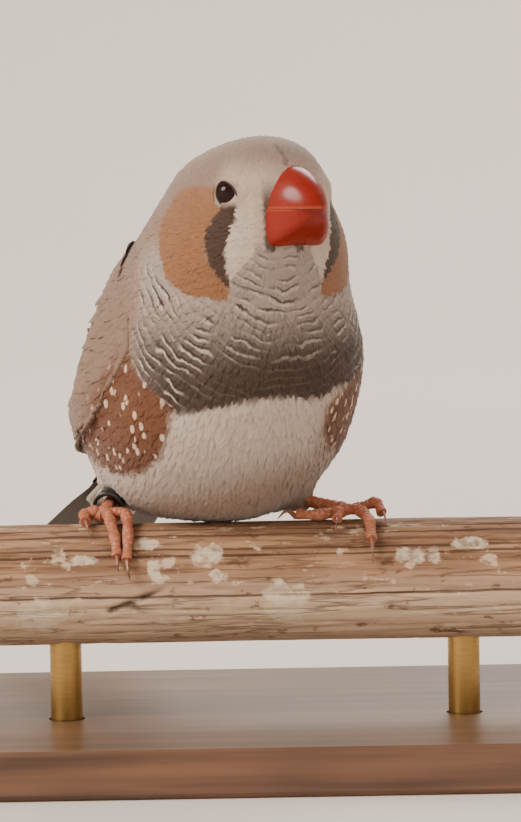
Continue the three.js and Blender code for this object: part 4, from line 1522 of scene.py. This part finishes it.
def eyelids(eye, centre):
    """Both lids as one band round the opening, from its beaded rim to under the feathers."""
    out, long, short = eye_frame(eye)
    rings = []
    for a in turns(LID["rings"]):
        corner = 1 + 0.1 * max(0, math.cos(a)) ** 12
        opening = corner / math.hypot(math.cos(a) / LID["long"], math.sin(a) / LID["short"])
        edge = math.degrees(math.asin(opening / EYE["radius"]))
        bead = LID["bead"] * math.cos(a * LID["beads"])
        profile = [
            (edge + 2, -0.1), (edge - 1, 0.02), (edge, 0.1 + bead), (edge + 3, 0.15 + bead), (edge + 7, 0.12),
            (edge + 14, 0.05), (82, 0), (104, -0.3), (100, -0.6), (78, -0.3),
        ]
        ring = []
        for away, rise in profile:
            t = math.radians(away)
            radial = long * math.cos(a) + short * math.sin(a)
            reach = EYE["radius"] + rise
            ring.append(centre + out * (reach * math.cos(t)) + radial * (reach * math.sin(t)))
        rings.append(to_world(ring))
    return tube_mesh(rings, ends="met")


# Feet
def path_points(stops, steps):
    """A smooth line through the stops, evenly divided."""
    stops = np.array(stops)
    padded = np.vstack([2 * stops[0] - stops[1], stops, 2 * stops[-1] - stops[-2]])
    out = []
    for i in range(len(stops) - 1):
        p0, p1, p2, p3 = padded[i:i + 4]
        for t in np.arange(12) / 12:
            curve = (2 * p0 - 5 * p1 + 4 * p2 - p3) * t ** 2 + (3 * p1 - p0 - 3 * p2 + p3) * t ** 3
            out.append(0.5 * (2 * p1 + (p2 - p0) * t + curve))
    out.append(stops[-1])
    out = np.array(out)
    far = np.concatenate([[0], np.cumsum(np.linalg.norm(np.diff(out, axis=0), axis=1))])
    wanted = np.linspace(0, far[-1], steps)
    return np.stack([np.interp(wanted, far, out[:, k]) for k in range(3)], 1), far[-1]


def limb(stops, steps, sides, radius_at):
    line, length = path_points(stops, steps)
    ahead = unit(np.gradient(line, axis=0))
    up = np.array([0, 0, 1.0])
    rings = []
    for i, (point, way) in enumerate(zip(line, ahead)):
        side = unit(np.cross(way, up)) if abs(way[2]) < 0.98 else unit(np.cross(way, [0, 1.0, 0]))
        rise = np.cross(side, way)
        t = i / (steps - 1)
        ring = []
        for a in turns(sides):
            radius = radius_at(t, a, length)
            ring.append(point + (side * math.cos(a) + rise * math.sin(a)) * radius)
        rings.append(ring)
    return tube_mesh(rings)


def scuted(base, taper, knuckles, scute):
    """A limb's radius with overlapping plates on its upper side and swellings at the joints."""
    def radius_at(t, a, length):
        swell = 0.95 + 0.1 * math.cos(2 * math.pi * knuckles * t)
        plate = (t * length / scute) % 1
        top = max(0, math.sin(a)) ** 0.5
        return base * (1 - taper * t) * swell * (1 + top * (0.16 * plate - 0.06) - 0.05 * (1 - top))
    return radius_at


def claw(last, tip):
    """A hooked claw from a toe's last joint to its point, both as X, angle and lift."""
    ahead = math.copysign(1, tip[1] - last[1])
    hook = [
        on_perch(last[0], last[1] - 4 * ahead, TOE["radius"] * 0.8 + last[2]),
        on_perch((last[0] + tip[0]) / 2, (last[1] + tip[1]) / 2 + 2 * ahead, TOE["radius"] + 0.45),
        on_perch(tip[0], tip[1], 0.2),
    ]
    return limb(hook, 22, 12, claw_radius)


def claw_radius(t, a, length):
    return TOE["claw"] * (1 - 0.86 * t) * (1 - 0.15 * abs(math.cos(a)))


def toe(steps):
    joints = [on_perch(x, angle, TOE["radius"] + lift) for x, angle, lift in steps]
    bones = len(joints) - 1
    return limb(joints, 26 * bones, 16, scuted(TOE["radius"] * TOE["plump"], 0.2, bones, TOE["scute"]))


def heel(t, a, length):
    return TARSUS["heel"] * math.sqrt(max(0.02, 1 - (2 * t - 1) ** 2))


def make_feet():
    scutes = scute_paint()
    horn = claw_paint()
    for side, leg in LEGS.items():
        ankle = on_perch(*leg["foot"])
        way = heel_way(leg)
        shank = [ankle - way * 0.4, ankle + way * TARSUS["length"] / 2, ankle + way * TARSUS["length"]]
        flesh = [limb(shank, 120, 20, scuted(TARSUS["radius"] * 1.05, 0.0, 1, TARSUS["scute"]))]
        flesh += [toe(steps[:-1]) for steps in leg["toes"]]
        flesh.append(limb([ankle - way * 0.9, ankle + way * 0.9], 16, 16, heel))
        claws = [claw(*steps[-2:]) for steps in leg["toes"]]
        join_limbs("foot_" + side, flesh, scutes, "leg_" + side)
        join_limbs("claws_" + side, claws, horn)


def join_limbs(name, limbs, paint, *nodes):
    points = []
    faces = []
    for limb_points, limb_faces in limbs:
        shift = len(points)
        points += limb_points
        faces += [tuple(i + shift for i in face) for face in limb_faces]
    piece = new_object(name, points, faces)
    outward(piece)
    smooth_shade(piece, 40)
    finish_piece(piece, paint, "leg", *nodes)


def scute_paint():
    finish = Finish("foot_scutes")
    cells = finish.add("ShaderNodeTexVoronoi", finish.place, None, 1700.0)
    colour = finish.mix(finish.grain(500.0), srgb(132, 68, 46), srgb(180, 112, 84))
    colour = finish.mix(cells.remap(0.5, 0.2, 0.0, 0.45), colour, srgb(206, 148, 118))
    finish.bump(cells, 0.35, 0.1)
    return finish.done(colour, roughness=0.58, specular=0.3)


def claw_paint():
    finish = Finish("claw_horn")
    cloud = finish.streaks((900, 900, 300))
    colour = finish.mix(cloud, srgb(104, 66, 50), srgb(150, 106, 84))
    finish.bump(cloud, 0.2, 0.05)
    return finish.done(colour, roughness=0.35, specular=0.5)


def ring_paint():
    finish = Finish("ring_gloss")
    scuffs = finish.streaks((900, 900, 3000))
    colour = finish.mix(scuffs, srgb(14, 14, 16), srgb(34, 33, 35))
    rough = scuffs.remap(0.3, 0.7, 0.1, 0.24)
    return finish.done(colour, roughness=rough, specular=0.5, coat=0.4, coat_rough=0.05)


def make_ring():
    leg = LEGS["right"]
    way = heel_way(leg)
    raised = unit(np.array([0, 0, 1.0]) - way * way[2])
    middle = on_perch(*leg["foot"]) + way * RING["along"] + raised * RING["raised"]
    ring = new_rod("ring_band", RING["outer"], RING["height"], middle, turn_to(way), 80, "NOTHING")
    settle(ring)
    modify(ring, "SOLIDIFY", thickness=RING["wall"] * MM, offset=-1)
    round_edges(ring, RING["round"])
    smooth_shade(ring, 40)
    finish_piece(ring, ring_paint(), "leg_ring", "leg_ring")


# Perch and stand
PERCH_CUTS = 150
PERCH_SIDES = 180
PERCH_WORN = {"width": 0.6, "depth": 0.5, "end_rings": 3}
# Grooves by the angle from the top towards the front, and stains by X, angle, length and width
GROOVES = (22, 32, 50, 57, 97)
STAINS = [
    (-6.8, 56, 1.8, 1.8), (3, 109, 2.6, 3.0), (-27.1, 114, 3.4, 2.2), (19, 61, 3.2, 1.2),
    (-14.2, 43, 1.6, 0.8), (-13.6, 71, 0.9, 1.6), (25.7, 49, 2.4, 0.9), (-5.9, 78, 0.8, 1.0),
    (-22, 60, 1.5, 0.7), (36, 80, 2.6, 1.4), (-38, 70, 2.4, 1.6), (10, -60, 3.0, 2.0),
    (-20, -80, 2.6, 1.8),
]


def groove_depth(x, angle):
    """How far the weathered wood has sunk, in millimetres: long grooves, pits and one branching crack."""
    round_ = Vector((x * 0.035, math.cos(angle) * 5.5, math.sin(angle) * 5.5))
    ridge = 1 - abs(noise.noise(round_))
    long = max(0, ridge - 0.82) / 0.18
    fine = Vector((x * 0.12, math.cos(angle) * 18, math.sin(angle) * 18))
    small = noise.noise(fine)
    pits = max(0, noise.noise(Vector((x * 0.5, angle * 4, 3.7))) - 0.45)
    swell = noise.noise(Vector((x * 0.03, math.cos(angle), math.sin(angle))))
    rut = 0
    for a in GROOVES:
        waver = 3 * noise.noise(Vector((x * 0.05, a, 1)))
        rut += math.exp(-((math.degrees(angle) - a + waver) / 1.4) ** 2)
    return 0.22 * long ** 2 + 0.045 * small + 0.3 * pits - 0.12 * swell + 0.16 * rut + crack(x, angle)


# The crack's branches by X and angle at their ends, and millimetres of bark to a degree
CRACKS = ((-19, 110, -15, 98), (-15, 98, -12.6, 90), (-16.6, 103, -14.6, 114))
PERCH_DEGREE = 0.131


def crack(x, angle):
    """A dark forked crack low on the front, under the right foot."""
    depth = 0
    for x0, a0, x1, a1 in CRACKS:
        wanted = np.array([x - x0, (math.degrees(angle) - a0) * PERCH_DEGREE])
        along = np.array([x1 - x0, (a1 - a0) * PERCH_DEGREE])
        t = np.clip(wanted @ along / (along @ along), 0, 1)
        off = np.linalg.norm(wanted - along * t)
        depth = max(depth, (1 - t * 0.6) * max(0, 1 - off / 0.55))
    return 0.5 * depth


def divide_perch(log, length):
    """Many rings along the log, and a few on its ends."""
    bpy.ops.object.mode_set(mode="EDIT")
    edit = bmesh.from_edit_mesh(log.data)
    sides = [e for e in edit.edges if abs((e.verts[0].co - e.verts[1].co).x) > length * MM / 2]
    bmesh.ops.subdivide_edges(edit, edges=sides, cuts=PERCH_CUTS, use_grid_fill=False)
    ends = [f for f in edit.faces if len(f.verts) > 4]
    for _ in range(PERCH_WORN["end_rings"]):
        bmesh.ops.inset_region(edit, faces=ends, thickness=PERCH_RADIUS * MM / 4, use_even_offset=True)
    bmesh.update_edit_mesh(log.data)
    bpy.ops.object.mode_set(mode="OBJECT")


def make_perch():
    low, high = PERCH_BOX
    length = high.x - low.x
    middle = ((low.x + high.x) / 2, PERCH_Y, PERCH_Z)
    log = new_rod("perch_log", PERCH_RADIUS, length, middle, (0, math.pi / 2, 0), PERCH_SIDES)
    settle(log)
    divide_perch(log, length)
    points = points_of(log)
    split = np.zeros((len(points), 1))
    for i, p in enumerate(points):
        across = np.array([p[1] - PERCH_Y, p[2] - PERCH_Z])
        reach = np.linalg.norm(across)
        if reach > PERCH_RADIUS * 0.98:
            angle = math.atan2(-across[0], across[1])
            rim = min(p[0] - low.x, high.x - p[0])
            worn = PERCH_WORN["depth"] * max(0, 1 - rim / PERCH_WORN["width"]) ** 2
            split[i] = min(1, 2.4 * crack(p[0], angle))
            p[1:] -= across / reach * (groove_depth(p[0], angle) + worn)
    set_points(log, points)
    write_attribute(log.data, "split", split)
    smooth_shade(log, 60)
    finish_piece(log, perch_paint(), "perch_wood", "perch")


def perch_grooves(finish, bark):
    """Dark lines: fine ones in the wood's grain, and the wavering grooves."""
    dark = abs(finish.streaks((30, 480, 480), 4.0) - 0.5).remap(0.03, 0.0) * 0.6
    waver = finish.streaks((50, 1, 1)) * 1.2
    for angle in GROOVES:
        off = bark - (math.radians(angle) * PERCH_RADIUS + 0.6)
        dark = dark.maths("MAXIMUM", abs(off + waver).remap(0.22, 0.06))
    return dark


def perch_stains(finish, x, bark):
    """How strongly each ragged, dried stain shows."""
    ragged = (finish.grain(380.0, 5.0, 0.65) - 0.5) * 3.4
    thin = finish.grain(900.0).remap(0.35, 0.6, 0.3, 0.8)
    blots = []
    for stain_x, angle, long, wide in STAINS:
        around_it = (bark - math.radians(angle) * PERCH_RADIUS) / wide
        place = finish.add("ShaderNodeCombineXYZ", (x - stain_x) / long, around_it)
        reach = finish.add("ShaderNodeVectorMath", place, operation="LENGTH", out=1)
        blots.append((reach + ragged).remap(1.15, 0.75) * thin)
    return blots


def perch_paint():
    """Weathered wood: lengthwise grain, dark grooves, a dark crack, pale dried stains, and painted light that
    makes the lower front paler.
    """
    finish = Finish("perch_wood")
    axes = finish.add("ShaderNodeSeparateXYZ", finish.place)
    front = PERCH_Y * MM - axes.part(1)
    bark = front.maths("ARCTAN2", axes.part(2) - PERCH_Z * MM) * PERCH_RADIUS
    fibres = finish.streaks((60, 900, 900), 5.0, 0.6)
    chips = finish.streaks((300, 520, 520), 5.0, 0.65)
    dark = perch_grooves(finish, bark)
    layers = [
        (finish.streaks((25, 190, 190)).remap(0.35, 0.65, 0.0, 0.6), (134, 100, 76)),
        # Painted light: the lower front of the log is made paler, standing in for light that the lamps don't
        # bring there.
        (bark.remap(9.0, 15.0, 0.0, 0.75), (208, 182, 154)),
        (dark * 0.8, (58, 36, 24)),
        (chips.remap(0.58, 0.66, 0.0, 0.7), (204, 180, 152)),
        (chips.remap(0.4, 0.33, 0.0, 0.7), (84, 56, 40)),
        (finish.attribute("split") * 0.9, (40, 26, 18)),
    ]
    layers += [(blot, (206, 190, 164)) for blot in perch_stains(finish, axes / MM, bark)]
    colour = finish.mix(fibres.remap(0.3, 0.7), srgb(104, 70, 48), srgb(166, 128, 98))
    for share, tone in layers:
        colour = finish.mix(share, colour, srgb(*tone))
    finish.bump(fibres + chips + dark * -0.8, 0.6, 0.25)
    return finish.done(colour, roughness=0.72, specular=0.25)


def stand_paint():
    finish = Finish("stand_wood")
    lines = finish.streaks((18, 420, 420), 4.0)
    colour = finish.mix(lines.remap(0.3, 0.7), srgb(72, 48, 34), srgb(112, 78, 56))
    colour = finish.mix(finish.grain(30.0, 2.0).remap(0.4, 0.7, 0.0, 0.4), colour, srgb(60, 40, 29))
    finish.bump(lines, 0.25, 0.1)
    return finish.done(colour, roughness=0.42, specular=0.4, coat=0.15, coat_rough=0.3)


def rod_paint():
    """Dull brass, brushed round the rod."""
    finish = Finish("rod_brass")
    brushed = finish.streaks((500, 500, 4000))
    colour = finish.mix(brushed, srgb(176, 142, 84), srgb(148, 116, 66))
    return finish.done(colour, roughness=brushed.remap(0.3, 0.7, 0.28, 0.42), metallic=1.0)


def make_stand():
    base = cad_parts["stand_base"]
    base.data.materials.clear()
    base.data.materials.append(stand_paint())
    brass = rod_paint()
    for side in ("left", "right"):
        low, high = [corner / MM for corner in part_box("stand_rod_" + side)]
        radius = (high.x - low.x) / 2
        rod = new_rod("rod_" + side, radius, high.z - low.z, (low + high) / 2, (0, 0, 0), 64)
        settle(rod)
        round_edges(rod, 0.3)
        smooth_shade(rod, 40)
        finish_piece(rod, brass, "stand_rod", "stand_rod_" + side)


make_camera()
make_world()
make_studio()
make_lights()
make_stand()
make_perch()
make_ring()
make_feet()
make_bill()
plumage = plumage_paint()
make_eyes(plumage)
skin = make_skin()
skin_bed = Bed(skin)
cores = {1: make_core("wing_left", skin_bed), -1: make_core("wing_right", skin_bed)}
make_coats(skin, list(cores.values()), plumage)
chance = np.random.default_rng(SEED + 1)
quill_paint = vane_paint("wing_quill", srgb(122, 97, 81), srgb(144, 120, 103), srgb(104, 82, 68))
for wing_side, core in cores.items():
    make_wing(wing_side, skin_bed, core, quill_paint, chance)
make_tail(chance)
